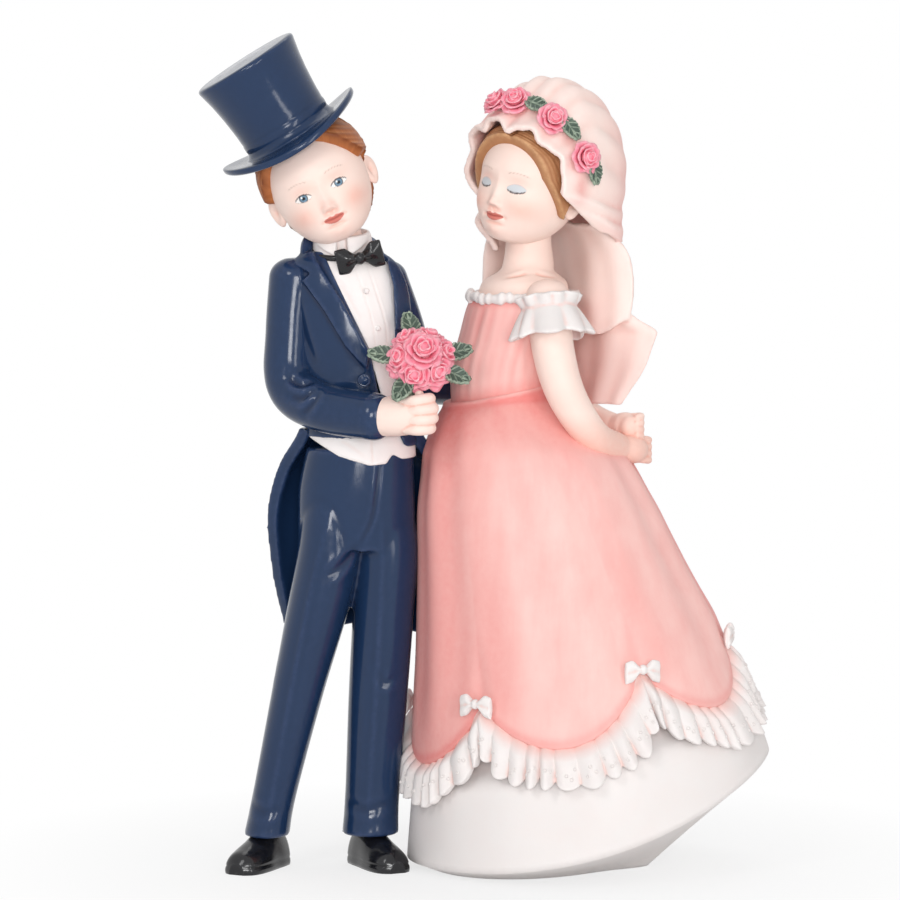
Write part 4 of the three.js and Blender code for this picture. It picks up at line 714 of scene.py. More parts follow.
def rounded(profile, count):
    """Profile with more points, its corners taken round."""
    rows = np.asarray(profile, float)
    runs = np.concatenate([[0], np.cumsum(np.linalg.norm(np.diff(rows, axis=0), axis=1))])
    spots = np.linspace(0, runs[-1], count)
    line = np.stack([np.interp(spots, runs, rows[:, k]) for k in (0, 1)], 1)
    for _ in range(2):
        line[1:-1] = line[1:-1] * 0.5 + (line[:-2] + line[2:]) * 0.25
    return line.tolist()


# Head from chin to crown: height, forward shift, width and depth as shares of the head's sizes.
HEAD_SHAPE = [
    [-0.508, -0.2, 0.0, 0.0],
    [-0.5, -0.2, 0.2, 0.2],
    [-0.47, -0.15, 0.44, 0.42],
    [-0.38, -0.08, 0.7, 0.68],
    [-0.22, -0.03, 0.91, 0.88],
    [-0.02, 0.0, 1.0, 0.98],
    [0.16, 0.0, 1.0, 1.0],
    [0.32, 0.02, 0.88, 0.9],
    [0.43, 0.03, 0.62, 0.64],
    [0.49, 0.03, 0.26, 0.28],
    [0.5, 0.03, 0.0, 0.0],
]
GROOM_HEAD = (turned(0, -25.5, 0), GROOM + np.array([-4.7, -1.2, 121.86]))
# Height of the head that the face is drawn for.
FACE_HEIGHT = 22.0
BRIDE_HEAD = (turned(0, 13, -38), BRIDE + np.array([0.39, -2.0, 121.5]))


def head_at(u, v):
    """Point and angle on a plain head, with more points on its front."""
    z, y, width, depth = spline(HEAD_SHAPE, v).T
    swing = 2 * u - 1
    angle = -math.pi / 2 + math.pi * (0.36 * swing + 0.64 * swing**3)
    x = np.cos(angle) * width * size("head_width") / 2
    back = y * size("head_depth") + np.sin(angle) * depth * size("head_depth") / 2
    return stacked(x, back, z * size("head_height")), angle


def face_relief(x, z):
    """How far a calm doll's face stands forward of a plain head."""
    side = np.abs(x)
    relief = 0.42 * bump(side, z, (3.4, -1.1), (1.6, 1.1)) - 0.55 * bump(side, z, (3.3, -0.6), (2.3, 1.6))
    relief += 0.28 * bump(side, z, (3.2, 1.9), (2.6, 0.9)) + 0.6 * bump(side, z, (4.7, -4.6), (2.5, 2.3))
    bridge = np.exp(-((x / 0.95) ** 2)) * (0.12 + 0.6 * step(0.2, -4.1, z)) * step(-5.4, -4.5, z)
    relief += bridge * step(2.6, 0.2, z) + 0.55 * bump(x, z, (0, -4.25), (1.0, 0.8))
    relief += 0.4 * bump(side, z, (0.95, -4.65), (0.5, 0.45)) - 0.3 * bump(side, z, (0.5, -5.1), (0.32, 0.22))
    relief += 0.4 * bump(side, z, (0.6, -6.3), (0.95, 0.36)) + 0.5 * bump(x, z, (0, -7.15), (1.3, 0.46))
    relief -= 0.38 * np.exp(-(((z + 6.72 - 0.05 * side) / 0.17) ** 2) - (x / 1.9) ** 4)
    relief -= 0.22 * bump(side, z, (2.1, -6.7), (0.5, 0.5)) + 0.3 * bump(x, z, (0, -8.05), (1.5, 0.42))
    return relief + 0.55 * bump(x, z, (0, -9.3), (1.8, 1.1)) - 0.1 * bump(x, z, (0, -5.6), (0.3, 0.5))


def over(layers, shade, cover):
    """Lays one more paint over the painted features."""
    layers[:, :3] = mix(layers[:, :3], np.array(shade[:3]), cover[:, None])
    layers[:, 3] = np.maximum(layers[:, 3], cover)


def painted_features(x, z, front, closed):
    """Colours of the painted eyes, brows and lips, with their cover."""
    layers = np.zeros((len(x), 4))
    layers[:, :3] = colour("skin")[:3]
    side = np.abs(x)
    t = (side - 3.4) / 1.65
    lens = np.clip(1 - t * t, 0, 1)
    middle = -1.15 + 0.1 * t
    upper, lower = middle + 0.85 * lens**0.8, middle - 0.6 * lens**0.8
    within = np.where(np.abs(t) < 1, 1.0, 0.0)
    brown = linear_with("8a5f45")
    if closed:
        lidded = step(-0.1, 0.25, upper + 0.35 - z) * step(-0.06, 0.1, z - lower) * within
        over(layers, colour("lid"), 0.85 * lidded * front)
        comb = 0.5 + 0.5 * np.sin(side * 15.0 + z * 3.0)
        lashes = step(0.5, 0.1, lower - z) * step(-0.12, 0.02, lower - z) * step(0.45, 0.7, comb) * within
        over(layers, colour("lash"), 0.75 * lashes * step(0.1, 0.6, lens + 0.25 * np.sign(t)) * front)
        over(layers, colour("lash"), step(0.2, 0.09, np.abs(z - lower)) * step(0.0, 0.25, lens) * front)
        over(layers, brown, 0.35 * step(0.16, 0.03, np.abs(z - upper - 0.3)) * within * front)
    else:
        almond = step(-0.07, 0.07, np.minimum(upper - z, z - lower)) * within * front
        over(layers, linear_with("fbf6f3"), almond)
        away = np.hypot(side - 3.4, z - middle - 0.14)
        over(layers, colour("lash"), almond * step(0.86, 0.74, away))
        over(layers, colour("iris"), almond * step(0.72, 0.6, away))
        over(layers, (0.01, 0.012, 0.018, 1.0), almond * step(0.4, 0.3, away))
        glint = np.hypot(x - 3.4 * np.sign(x) + 0.26, z - middle - 0.42)
        over(layers, (1.0, 1.0, 1.0, 1.0), almond * step(0.22, 0.12, glint))
        over(layers, colour("lash"), 0.95 * step(0.2, 0.08, np.abs(z - upper)) * step(0.0, 0.2, lens) * front)
        over(layers, brown, 0.5 * step(0.14, 0.04, np.abs(z - lower)) * step(0.05, 0.3, lens) * front)
        over(layers, brown, 0.45 * step(0.14, 0.03, np.abs(z - upper - 0.5)) * step(0.1, 0.4, lens) * front)
    arch = (side - 3.5) / 2.1
    brow = 1.45 + 0.45 * np.clip(1 - arch * arch, 0, 1)
    hairs = 0.75 + 0.25 * np.sin(side * 11.0 - z * 9.0)
    over(layers, brown,
         0.6 * step(0.3, 0.1, np.abs(z - brow)) * step(1.0, 0.75, np.abs(arch)) * hairs * front)
    bow = -6.0 - 0.22 * np.exp(-((x / 0.32) ** 2)) - 0.32 * (side / 1.9) ** 2
    base = -7.62 + 0.85 * (side / 1.95) ** 2
    lips = step(-0.06, 0.1, np.minimum(bow - z, z - base)) * step(2.0, 1.8, side) * front
    over(layers, colour("lips"), 0.92 * lips)
    parting = step(0.14, 0.03, np.abs(z + 6.72 - 0.05 * side)) * step(1.9, 1.5, side) * front
    over(layers, linear_with("8d2f28"), 0.8 * parting)
    return layers


def ear(side):
    """Ear with a rolled rim round its bowl, set aslant on the side of the head."""
    lean = math.radians(38)
    back = np.array([side * math.sin(lean), math.cos(lean), 0])
    out = np.array([side * math.cos(lean), -math.sin(lean), 0])
    centre = np.array([side * (size("head_width") / 2 + 0.3), 1.0, -1.5])

    def place(u, v):
        angle, rise = 2 * math.pi * u, math.pi * (v - 0.5)
        reach, face = np.cos(rise), np.sin(rise)
        proud = 0.8 * face - 0.75 * np.exp(-((reach / 0.5) ** 2)) * step(0.0, 0.2, face)
        deep = 1.8 * reach * np.cos(angle) * (1 + 0.2 * np.sin(angle))
        spots = centre + deep[:, None] * back + proud[:, None] * out
        spots[:, 2] += 2.7 * reach * np.sin(angle)
        return spots

    return warped(48, 28, place)


def unpainted(mesh):
    """Mesh marked as bare of face paint, to be joined to a painted head."""
    attribute = mesh.attributes.new("features", "FLOAT_COLOR", "POINT")
    attribute.data.foreach_set("color", np.zeros(4 * len(mesh.vertices), np.float32))
    keep(mesh, "blush", np.full(len(mesh.vertices), 0.1))
    return mesh


def head_mesh(closed, sides):
    """Head with its face and ears in the head's own frame."""
    def place(u, v):
        spots, angle = head_at(u, v)
        front = step(0.1, 0.75, -np.sin(angle))
        drawn = spots[:, 2] * FACE_HEIGHT / size("head_height")
        spots[:, 1] -= face_relief(spots[:, 0], drawn) * front
        return spots

    mesh = warped(270, 226, place)
    x, y, z = read(mesh).T
    z = z * FACE_HEIGHT / size("head_height")
    front = step(-1.0, -4.5, y)
    layers = painted_features(x, z, front, closed)
    side = np.abs(x)
    blush = 0.5 * bump(side, z, (4.9, -4.5), (2.4, 1.9)) + 0.25 * bump(x, z, (0, -4.4), (1.1, 0.9))
    blush += 0.2 * bump(x, z, (0, -9.2), (2.0, 1.2)) + 0.15 * bump(side, z, (3.4, 0.5), (2.0, 1.0))
    attribute = mesh.attributes.new("features", "FLOAT_COLOR", "POINT")
    attribute.data.foreach_set("color", layers.astype(np.float32).ravel())
    keep(mesh, "blush", blush * front)
    shaded(mesh, 0.5)
    return joined(mesh, *[shaded(unpainted(ear(side)), 0.5) for side in sides])


def hair_mesh(within, thickness, locks, columns=290, rows=210):
    """Hair that leaves the face open: within tells how far a spot lies inside the hairline."""
    def place(u, v):
        spots, angle = head_at(u, v)
        x, y, z = spots.T
        cover = step(-0.35, 0.75, within(x, y, z))
        relief = locks(x, y, z, angle)
        rise = mix(-0.9, thickness, cover) + relief * cover
        return spots * (1 + 2 * rise / size("head_width"))[:, None]

    return shaded(warped(columns, rows, place), 0.45, 2)


# Outlines on the coat front, in shares of the coat's waist and of its length above the hem.
OPENING = [
    (-0.402, 1.091), (-0.232, 0.873), (0.098, 0.479), (0.175, 0.242), (0.165, -0.03),
    (0.37, -0.03), (0.32, 0.576), (0.299, 0.894), (0.113, 1.091),
]
RIGHT_LAPEL = [
    (-0.51, 1.091), (-0.402, 0.964), (-0.149, 0.733), (0.088, 0.479), (0.072, 0.376), (-0.124, 0.503),
    (-0.325, 0.697), (-0.521, 0.848), (-0.438, 0.888), (-0.634, 0.939), (-0.649, 1.03),
]
LEFT_LAPEL = [
    (0.17, 1.067), (0.242, 0.967), (0.309, 0.815), (0.33, 0.582), (0.479, 0.582), (0.459, 0.761),
    (0.423, 0.864), (0.371, 0.903), (0.433, 0.927), (0.371, 0.994), (0.268, 1.055),
]
# Corner of the coat's left front, in shares of the waist and of the waistcoat's drop below the coat.
LEFT_CORNER = [(0.375, 0.1), (0.395, -0.2), (0.44, -0.34), (0.52, -0.3), (0.66, -0.34), (0.66, 0.1)]
# Edge of the waistcoat, in shares of the waist and of the waistcoat's drop below the coat.
WAISTCOAT_EDGE = [
    (-0.84, 0.22), (-0.84, -0.09), (-0.49, 0.09), (-0.19, -0.65), (0.088, -1.0), (0.242, -0.957),
    (0.3, -0.587), (0.387, -0.804), (0.706, -0.739), (0.706, 0.22),
]
WAISTCOAT_DROP = 4.6
# Trunk of the coat: share of its height, lean towards the neck, width and share of its depth.
TRUNK = [
    (0.0, 0.0, 19.4, 0.93), (0.14, 0.08, 19.4, 0.93), (0.36, 0.3, 20.72, 0.98), (0.58, 0.55, 21.6, 1.0),
    (0.75, 0.75, 21.17, 0.94), (0.865, 0.88, 20.09, 0.84), (0.945, 0.96, 17.71, 0.7), (1.0, 1.0, 12.96, 0.56),
]
NECK_BASE = GROOM + np.array([-0.7, 1.0, 110.0])
COLLAR_TURN = towards((0, 0, 1), (-0.81, -2.2, 17.3))
RIGHT_CUFF = GROOM + np.array([5.14, -12.48, 81.5])


def on_groom(*rows):
    """Spots of the groom in the shared frame."""
    return [GROOM + np.array(row) for row in rows]


def coat_spots(shares, length_share=COAT_LENGTH):
    """Spots of the coat front in the front view, from their shares."""
    waist = size("coat_waist")
    return [(GROOM[0] + WAIST_X + x * waist, COAT_HEM + up * length_share) for x, up in shares]


def trunk(grow):
    """Closed trunk of the coat, grown outwards or shrunk inwards."""
    depth = size("chest_depth")
    rows = [
        [
            COAT_HEM + up * COAT_LENGTH,
            GROOM[0] + mix(WAIST_X, NECK_X, lean),
            GROOM[1] + depth * (0.018 + 0.042 * up),
            wide,
            deep * depth,
        ]
        for up, lean, wide, deep in TRUNK
    ]
    return loft(rows, 96, 72, 0.02, grow)


def lower_trunk(grow):
    """Closed body of the waistcoat below the coat, grown outwards."""
    waist, deep = size("coat_waist"), size("chest_depth")
    x, y = GROOM[0] + WAIST_X, GROOM[1] + 0.018 * deep
    rows = [
        [COAT_HEM - 2 * WAISTCOAT_DROP, GROOM[0] + 1.7, y, 20.0, 15.8],
        [COAT_HEM - 1.1 * WAISTCOAT_DROP, x, y, 1.026 * waist, 0.94 * deep],
        [COAT_HEM + 0.6, x, y, 0.995 * waist, 0.92 * deep],
    ]
    return loft(rows, 96, 40, 0.02, grow)


def ring_at(centre, heading, radius, girth, columns=64, rows=16):
    """Rolled edge round a limb, square to its heading."""
    turn = towards((0, 0, 1), heading)

    def place(u, v):
        angle, round_off = 2 * math.pi * u, 2 * math.pi * v
        reach = radius + girth * np.cos(round_off)
        spots = stacked(np.cos(angle) * reach, np.sin(angle) * reach, 1.3 * girth * np.sin(round_off))
        return spots @ turn.T + np.asarray(centre)

    return warped(columns, rows, place)


def strokes(mesh, marks, radius=0.8):
    """Mesh pressed with creases: each mark holds its spots, width, depth, lip, the darker paint laid in its
    crease as painted shade, and view azimuth.
    """
    work = Sculpt(mesh)
    for spots, width, depth, lip, tint_and_shade, azimuth in marks:
        work.stroke(work.path(spots, azimuth), width, depth, lip, tint_and_shade)
    return shaded(work.done(), radius)


class TOPPER_OT_hat(bpy.types.Operator):
    """Turns the crown of the top hat with its band, and bends the brim"""

    bl_idname = "topper.hat"
    bl_label = "Top hat"

    def execute(self, context):
        head_turn, head_spot = GROOM_HEAD
        turn = head_turn @ turned(5, -7, 0)
        spot = head_turn @ np.array([-0.68, 0.39, 8.5]) + head_spot
        girth = size("crown_base") / 2
        spread = size("crown_top") / 2 - girth
        tall = size("crown_height")
        low, band = size("brim_thickness"), size("hat_band")
        profile = [
            [0.0, 0.1], [girth - 0.2, 0.1], [girth + 0.4, 0.4], [girth + 1.3, low - 0.1],
            [girth + 0.75, low + 0.15],
            [girth + 0.38, low + 0.5], [girth + 0.24, low + 0.33 * band], [girth + 0.02, low + 0.38 * band],
            [girth + 0.22, low + 0.44 * band], [girth + 0.24, low + 0.85 * band],
            [girth + 0.02, low + 0.91 * band],
            [girth + 0.16, low + 0.98 * band], [girth + 0.12 * spread, 0.36 * tall],
            [girth + 0.2 * spread, 0.46 * tall], [girth + 0.36 * spread, 0.62 * tall],
            [girth + 0.6 * spread, 0.78 * tall], [girth + 0.9 * spread, 0.925 * tall],
            [girth + spread, 0.965 * tall], [girth + 0.9 * spread, 0.995 * tall],
            [girth + 0.5 * spread, 1.005 * tall], [0.0, 1.02 * tall],
        ]
        crown = spun(rounded(profile, 170), 112)
        points = read(crown)
        share = np.arctan2(points[:, 1], points[:, 0]) / (2 * math.pi)
        points[:, :2] *= (1 + 0.006 * ripple(share, 3, (2, 3, 5, 9)))[:, None]
        crease = bump(180 * share, points[:, 2], (-27.0, low + 0.65 * band), (4.0, 0.35 * band))
        points[:, :2] *= (1 - 0.02 * crease)[:, None]
        write(crown, points)
        moved(crown, turn, spot)
        piece("hat_crown_visual", shaded(crown, 0.5), finish("navy_gloss"), "navy_paint", "hat_crown")

        outer, thick, curl = size("brim_diameter") / 2, size("brim_thickness"), size("brim_curl")
        inner = girth - 0.4

        def place(u, v):
            angle, loop = 2 * math.pi * u, 2 * math.pi * v
            across = np.sign(np.cos(loop)) * np.abs(np.cos(loop)) ** 0.35
            up = np.sign(np.sin(loop)) * np.abs(np.sin(loop)) ** 0.6
            out = 0.5 + 0.5 * across
            radius = mix(inner, outer, out) + 0.12 * ripple(u, 8, (2, 3, 5))
            lift = curl * out**2 * np.cos(angle) ** 2 - 0.9 * out * np.sin(angle) ** 2
            height = thick / 2 + lift + up * thick * mix(0.5, 0.44, out)
            return stacked(np.cos(angle) * radius, np.sin(angle) * radius, height)

        brim = moved(warped(180, 64, place), turn, spot)
        piece("hat_brim_visual", shaded(brim, 0.7), finish("navy_gloss"), "navy_paint", "hat_brim")
        return {"FINISHED"}


def groom_hairline(x, y, z):
    """How far a spot lies inside the groom's hair, which is parted on its right and leaves the ears free."""
    swept = np.maximum(
        z - np.interp(x, [-0.6, 2.0, 4.0, 5.6, 7.0, 8.2], [8.6, 7.6, 6.4, 5.0, 3.4, 1.4]), y + 1.5)
    swept = np.minimum(swept, np.maximum(z + 1.8, y - 3.0))
    short = y - np.interp(z, [-2, 0, 2, 4, 8], [1.5, -1.2, -3.6, -4.6, -5.8])
    short = np.minimum(short, np.maximum(z + 1.6, y - 3.0))
    round_ear = 2.4 * (np.hypot((y - 1.3) / 2.6, (z + 1.0) / 3.2) - 1)
    return np.minimum(mix(short, swept, step(-0.9, 0.5, x)), round_ear)


def groom_locks(x, y, z, angle):
    """Relief of strands that are swept from the parting and hang straight at the back."""
    across = mix(0.9 * y + 0.22 * z, z + 0.55 * x, step(-0.9, 0.5, x))
    across = mix(across, 7.0 * angle + 0.1 * z, step(-0.5, 4.0, y))
    across = across + 0.25 * np.sin(0.9 * z + 0.6 * x)
    lock = np.abs(np.sin(1.15 * across)) ** 0.6
    return 0.3 * (lock - 0.5) + 0.1 * np.abs(np.sin(4.7 * across))


class TOPPER_OT_groom_head(bpy.types.Operator):
    """Models the groom's head with its neck, and the wavy hair"""

    bl_idname = "topper.groom_head"
    bl_label = "Groom's head"

    def execute(self, context):
        neck = tube([NECK_BASE, mix(NECK_BASE, GROOM_HEAD[1], 0.5), GROOM_HEAD[1]], [8.6, 7.9, 7.9], 64, 40)
        head = joined(moved(head_mesh(False, (-1, 1)), *GROOM_HEAD), shaded(unpainted(neck), 0.8))
        piece("groom_head_visual", head, finish("face_paint"), "skin_paint", "groom_head")
        hair = moved(hair_mesh(groom_hairline, size("hair_thickness"), groom_locks), *GROOM_HEAD)
        piece("groom_hair_visual", hair, finish("auburn_hair"), "auburn_paint", "groom_hair")
        return {"FINISHED"}


class TOPPER_OT_coat(bpy.types.Operator):
    """Casts the tailcoat with its lapels, collar, button and tails"""

    bl_idname = "topper.coat"
    bl_label = "Tailcoat"

    def execute(self, context):
        body = carved(trunk(0.0), prism(coat_spots(OPENING), -30, GROOM[1] - 1), "DIFFERENCE")
        parts = [body]
        for outline in (RIGHT_LAPEL, LEFT_LAPEL):
            patch = prism(coat_spots(outline), -30, GROOM[1] - 1)
            parts.append(carved(trunk(size("lapel_thickness")), patch, "INTERSECT"))
        corner = prism(coat_spots(LEFT_CORNER, WAISTCOAT_DROP), -30, GROOM[1] - 1)
        parts.append(carved(lower_trunk(0.55), corner, "INTERSECT"))
        roll = on_groom(
            (-7.2, -2.4, 107.4), (-7.3, -0.6, 109.8), (-6.4, 2.2, 111.7),
            (-3.4, 4.9, 111.6), (1.2, 4.9, 111.2),
            (4.2, 2.2, 111.0), (5.6, -0.6, 109.4), (5.8, -2.0, 107.4),
        )
        parts.append(tube(roll, [1.2, 2.0, 2.7, 3.6, 3.6, 2.6, 2.0, 1.2], 32, 80))
        stand = on_groom((-4.4, 4.6, 109.4), (-0.9, 6.2, 109.8), (2.8, 4.6, 109.2))
        parts.append(tube(stand, [1.8, 3.0, 1.8], 24, 40))
        coat = cast(parts, COAT_GRAIN, 2)
        marks = [
            ([(-33.6, 100.5), (-32.5, 95.5), (-30.5, 90.0)], 1.0, 0.3, 0.1, 0.2, 0),
            ([(-29.0, 84.2), (-26.0, 85.6), (-23.0, 86.4)], 0.9, 0.22, 0.08, 0.1, 0),
            ([(23.6, 78.5), (23.9, 90.0), (24.6, 104.0)], 0.35, 0.3, 0.0, 0.5, 180),
            ([(17.5, 80.0), (18.6, 90.0), (18.2, 100.0)], 0.8, 0.3, 0.1, 0.2, 180),
            ([(29.6, 80.0), (30.0, 90.0), (30.6, 100.0)], 0.8, 0.3, 0.1, 0.2, 180),
        ]
        coat = strokes(coat, marks)
        piece("coat_body_visual", coat, finish("navy_gloss"), "navy_paint", "coat_body")

        box_low, box_high = (np.array(corner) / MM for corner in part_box("coat_button"))
        radius = (box_high[0] - box_low[0]) / 2
        dome = [
            [0.0, -0.6], [0.9, -0.6], [1.0, -0.1], [0.97, 0.12], [0.8, 0.16],
            [0.72, 0.08], [0.55, 0.2], [0.0, 0.36],
        ]
        button = spun(rounded([[r * radius, h * radius] for r, h in dome], 40), 40)
        centre = (box_low + box_high) / 2
        moved(button, turned(90, 0, 0), (centre[0], box_low[1] + 0.3 * radius, centre[2]))
        piece("coat_button_visual", shaded(button, 0.4), finish("navy_gloss"), "navy_paint", "coat_button")

        for side, name in ((-1, "right_coat_tail"), (1, "left_coat_tail")):
            tail = self.tail(side)
            piece(name + "_visual", tail, finish("navy_gloss"), "navy_paint", name)
        return {"FINISHED"}

    def tail(self, side):
        """Tail that hangs behind the legs, round the waist at its top and flared lower down."""
        waist, depth, thick = size("coat_waist"), size("chest_depth"), size("tail_thickness")
        flare = [[waist / 2 + share * 6.2] for share in (0.0, 0.66, 1, 0.97, 0.8, 0.52)]

        def place(u, v):
            turn = math.pi / 2 * u
            reach = spline(flare, v)[:, 0]
            out = mix(0.25, reach, mix(u, np.sin(turn), 1 - v))
            hung = mix(-0.7 * thick, thick / 2 + 0.35, step(0.0, 0.22, v))
            back = depth * (0.47 + 0.1 * np.sin(math.pi * v) + 0.07 * v) + hung
            wrap = depth / 2 * mix(0.45 * u * u, 1 - np.cos(turn), 1 - v)
            down = 36 * (v + 0.056 * u * v - 0.042)
            fold = 0.3 * np.sin(2 * math.pi * (1.4 * u + 0.15)) * step(0.15, 0.8, v)
            x = GROOM[0] + WAIST_X + side * out
            return stacked(x, GROOM[1] + back - wrap + fold, COAT_HEM - down)

        return shaded(cast([thickened(warped(56, 90, place), thick)], TAIL_GRAIN, 6), 0.8)


class TOPPER_OT_sleeves(bpy.types.Operator):
    """Casts both coat sleeves with their elbow folds and cuffs"""

    bl_idname = "topper.sleeves"
    bl_label = "Sleeves"

    def execute(self, context):
        wide, cuff = size("sleeve_width"), size("cuff_width")
        path = on_groom(
            (-9.12, 0.5, 105.1), (-9.9, -0.45, 96.0), (-9.7, -2.0, 86.6), (-4.56, -6.49, 82.9),
            (5.14, -12.48, 81.5),
        )
        arm = tube(path, [1.02 * wide, 0.98 * wide, wide, 0.96 * wide, cuff], 96, 120, 0.07)
        hem = ring_at(mix(path[-1], path[-2], 0.05), path[-1] - path[-2], cuff / 2 - 0.35, 0.45)
        marks = [
            ([(-35.2, 88.0), (-33.0, 86.8), (-30.6, 87.4)], 0.7, 0.4, 0.2, 0.2, 0),
            ([(-34.8, 84.8), (-32.6, 84.6), (-30.4, 86.2)], 0.7, 0.35, 0.18, 0.2, 0),
            ([(-32.6, 81.6), (-31.0, 83.6), (-29.6, 85.8)], 0.7, 0.3, 0.15, 0.2, 0),
            ([(-32.6, 106.5), (-30.9, 101.0), (-31.2, 96.0)], 0.5, 0.4, 0.1, 0.4, 0),
            ([(-4.5, 90.5), (-1.0, 88.6), (2.0, 89.8)], 0.7, 0.4, 0.2, 0.2, -90),
        ]
        sleeve = strokes(cast([arm, hem], SLEEVE_GRAIN, 3), marks)
        piece("right_sleeve_visual", sleeve, finish("navy_gloss"), "navy_paint", "right_sleeve")

        path = on_groom((6.54, 1.5, 104.7), (9.44, 4.49, 96.1), (11.53, 9.08, 87.5), (18.6, 15.6, 85.5))
        arm = tube(path, [0.92 * wide, 0.92 * wide, 0.94 * wide, cuff], 96, 100, 0.07)
        hem = ring_at(mix(path[-1], path[-2], 0.05), path[-1] - path[-2], cuff / 2 - 0.35, 0.45)
        marks = [
            ([(-17.0, 90.4), (-14.0, 89.0), (-11.0, 89.6)], 0.7, 0.35, 0.18, 0.2, 0),
            ([(12.0, 92.0), (14.6, 90.0), (17.4, 90.6)], 0.8, 0.4, 0.2, 0.2, 180),
            ([(9.0, 88.4), (12.0, 86.0), (15.4, 86.4)], 0.8, 0.4, 0.2, 0.2, 180),
        ]
        sleeve = strokes(cast([arm, hem], SLEEVE_GRAIN, 3), marks)
        piece("left_sleeve_visual", sleeve, finish("navy_gloss"), "navy_paint", "left_sleeve")
        return {"FINISHED"}


class TOPPER_OT_shirt(bpy.types.Operator):
    """Casts the shirt front, wing collar, bow tie and waistcoat"""

    bl_idname = "topper.shirt"
    bl_label = "Shirt and waistcoat"

    def execute(self, context):
        middle = GROOM[0] + WAIST_X + 0.12 * size("coat_waist")
        wider = [(x + (0.35 if x > middle else -0.35), z) for x, z in coat_spots(OPENING)]
        front = carved(trunk(-0.5), prism(wider, -30, GROOM[1] - 0.4), "INTERSECT")
        studs = [self.stud(*spot) for spot in coat_spots([(0.067, 0.794), (0.17, 0.594)])]
        placket = [
            ([(-23.6, 107.6), (-21.9, 103.0), (-20.2, 97.0), (-19.6, 90.0)], 0.22, 0.07, 0.03, 0.03, 0),
            ([(-21.2, 107.4), (-19.6, 102.6), (-18.0, 97.0), (-17.6, 90.0)], 0.22, 0.07, 0.03, 0.03, 0),
            ([(-26.6, 105.5), (-24.2, 101.6), (-22.2, 98.2)], 0.5, 0.15, 0.06, 0.1, 0),
        ]
        shirt = strokes(cast([front], SHIRT_GRAIN, 3), placket, 0.6)
        shirt = joined(shirt, *studs)
        piece("shirt_front_visual", shirt, finish("shirt_white"), "ivory_paint", "shirt_front")

        collar = moved(self.wing_collar(), COLLAR_TURN, NECK_BASE)
        piece("shirt_collar_visual", collar, finish("shirt_white"), "ivory_paint", "shirt_collar")

        tie_spot = NECK_BASE + COLLAR_TURN @ np.array([0, 0, 0.3])
        tie = moved(self.bow_tie(), COLLAR_TURN @ turned(8, 0, 0), tie_spot)
        piece("bow_tie_visual", shaded(tie, 0.5), finish("black_gloss"), "black_paint", "bow_tie")

        band = prism(coat_spots(WAISTCOAT_EDGE, WAISTCOAT_DROP), -30, GROOM[1] + 4)
        waistcoat = cast([carved(lower_trunk(0.0), band, "INTERSECT")], SHIRT_GRAIN, 3)
        marks = [
            ([(-20.6, 78.0), (-20.4, 75.0), (-20.2, 72.6)], 0.22, 0.15, 0.04, 0.15, 0),
            ([(-26.0, 77.0), (-23.6, 75.4), (-21.6, 74.0)], 0.5, 0.15, 0.06, 0.1, 0),
        ]
        waistcoat = strokes(waistcoat, marks, 0.6)
        piece("waistcoat_visual", waistcoat, finish("shirt_white"), "ivory_paint", "waistcoat")
        return {"FINISHED"}

    def stud(self, x, z):
        """Pale stud that sits on the shirt front."""
        depth = size("chest_depth")
        share = (z - COAT_HEM) / COAT_LENGTH
        across = (x - GROOM[0] - mix(WAIST_X, NECK_X, share)) / 10.6
        y = GROOM[1] + depth * (0.018 + 0.042 * share) - (depth / 2 - 0.4) * math.sqrt(max(0, 1 - across**2))
        return shaded(ball((x, y, z), (0.5, 0.42, 0.5)), 0.4)

    def wing_collar(self):
        """Band of the collar with a wing folded down on each side of the tie."""
        profile = [
            [4.1, -2.0], [5.5, -2.0], [5.4, 0.4], [5.15, 2.4], [4.85, 3.3],
            [4.45, 3.4], [4.2, 3.0], [4.1, -2.0],
        ]
        parts = [spun(rounded(profile, 60), 96)]
        for side in (-1, 1):
            def place(u, v):
                angle = math.radians(-90) + side * mix(0.16, 0.95, u)
                drop = v * mix(3.3, 1.2, u)
                radius = 5.35 + 0.75 * v * (1 - u) + 0.15
                return stacked(np.cos(angle) * radius, np.sin(angle) * radius, 3.3 - drop)

            parts.append(thickened(warped(24, 20, place), 0.7))
        return shaded(cast(parts, COLLAR_GRAIN, 3), 0.5)

    def bow_tie(self):
        """Bow with pleated loops and a knot, on a band round the collar."""
        wide, tall, deep = size("bow_tie_width"), size("bow_tie_height"), 1.0

        def place(u, v):
            along, opened = ends(v, 0.05)
            x = mix(-0.5, 0.5, along)
            reach = np.abs(x) * 2
            height = tall / 2 * (0.3 + 0.7 * step(0.08, 0.62, reach)) * opened**0.5
            angle = 2 * math.pi * u
            pleat = 0.28 * np.cos(angle * 5) * step(0.95, 0.3, reach) * step(0.02, 0.2, reach)
            thick = (
                deep * (0.55 + 0.6 * np.sin(math.pi * np.clip(reach, 0, 1)) ** 0.8) + pleat
            ) * opened**0.5
            return stacked(x * wide, -np.sin(angle) * thick - 0.3 * reach, np.cos(angle) * height)

        knot = ball((0, -0.5, 0), (0.95, 1.0, 1.15), 32, 20)
        bow = moved(joined(warped(60, 90, place), knot), turned(0, -10, 8), (3.0, -6.1, 0.2))
        band = [
            [4.3, -0.5], [5.95, -0.5], [6.15, -0.25], [6.0, 0.0],
            [6.15, 0.25], [5.95, 0.5], [4.3, 0.5], [4.3, -0.5],
        ]
        return cast([bow, spun(rounded(band, 40), 96)], BOW_TIE_GRAIN, 2)


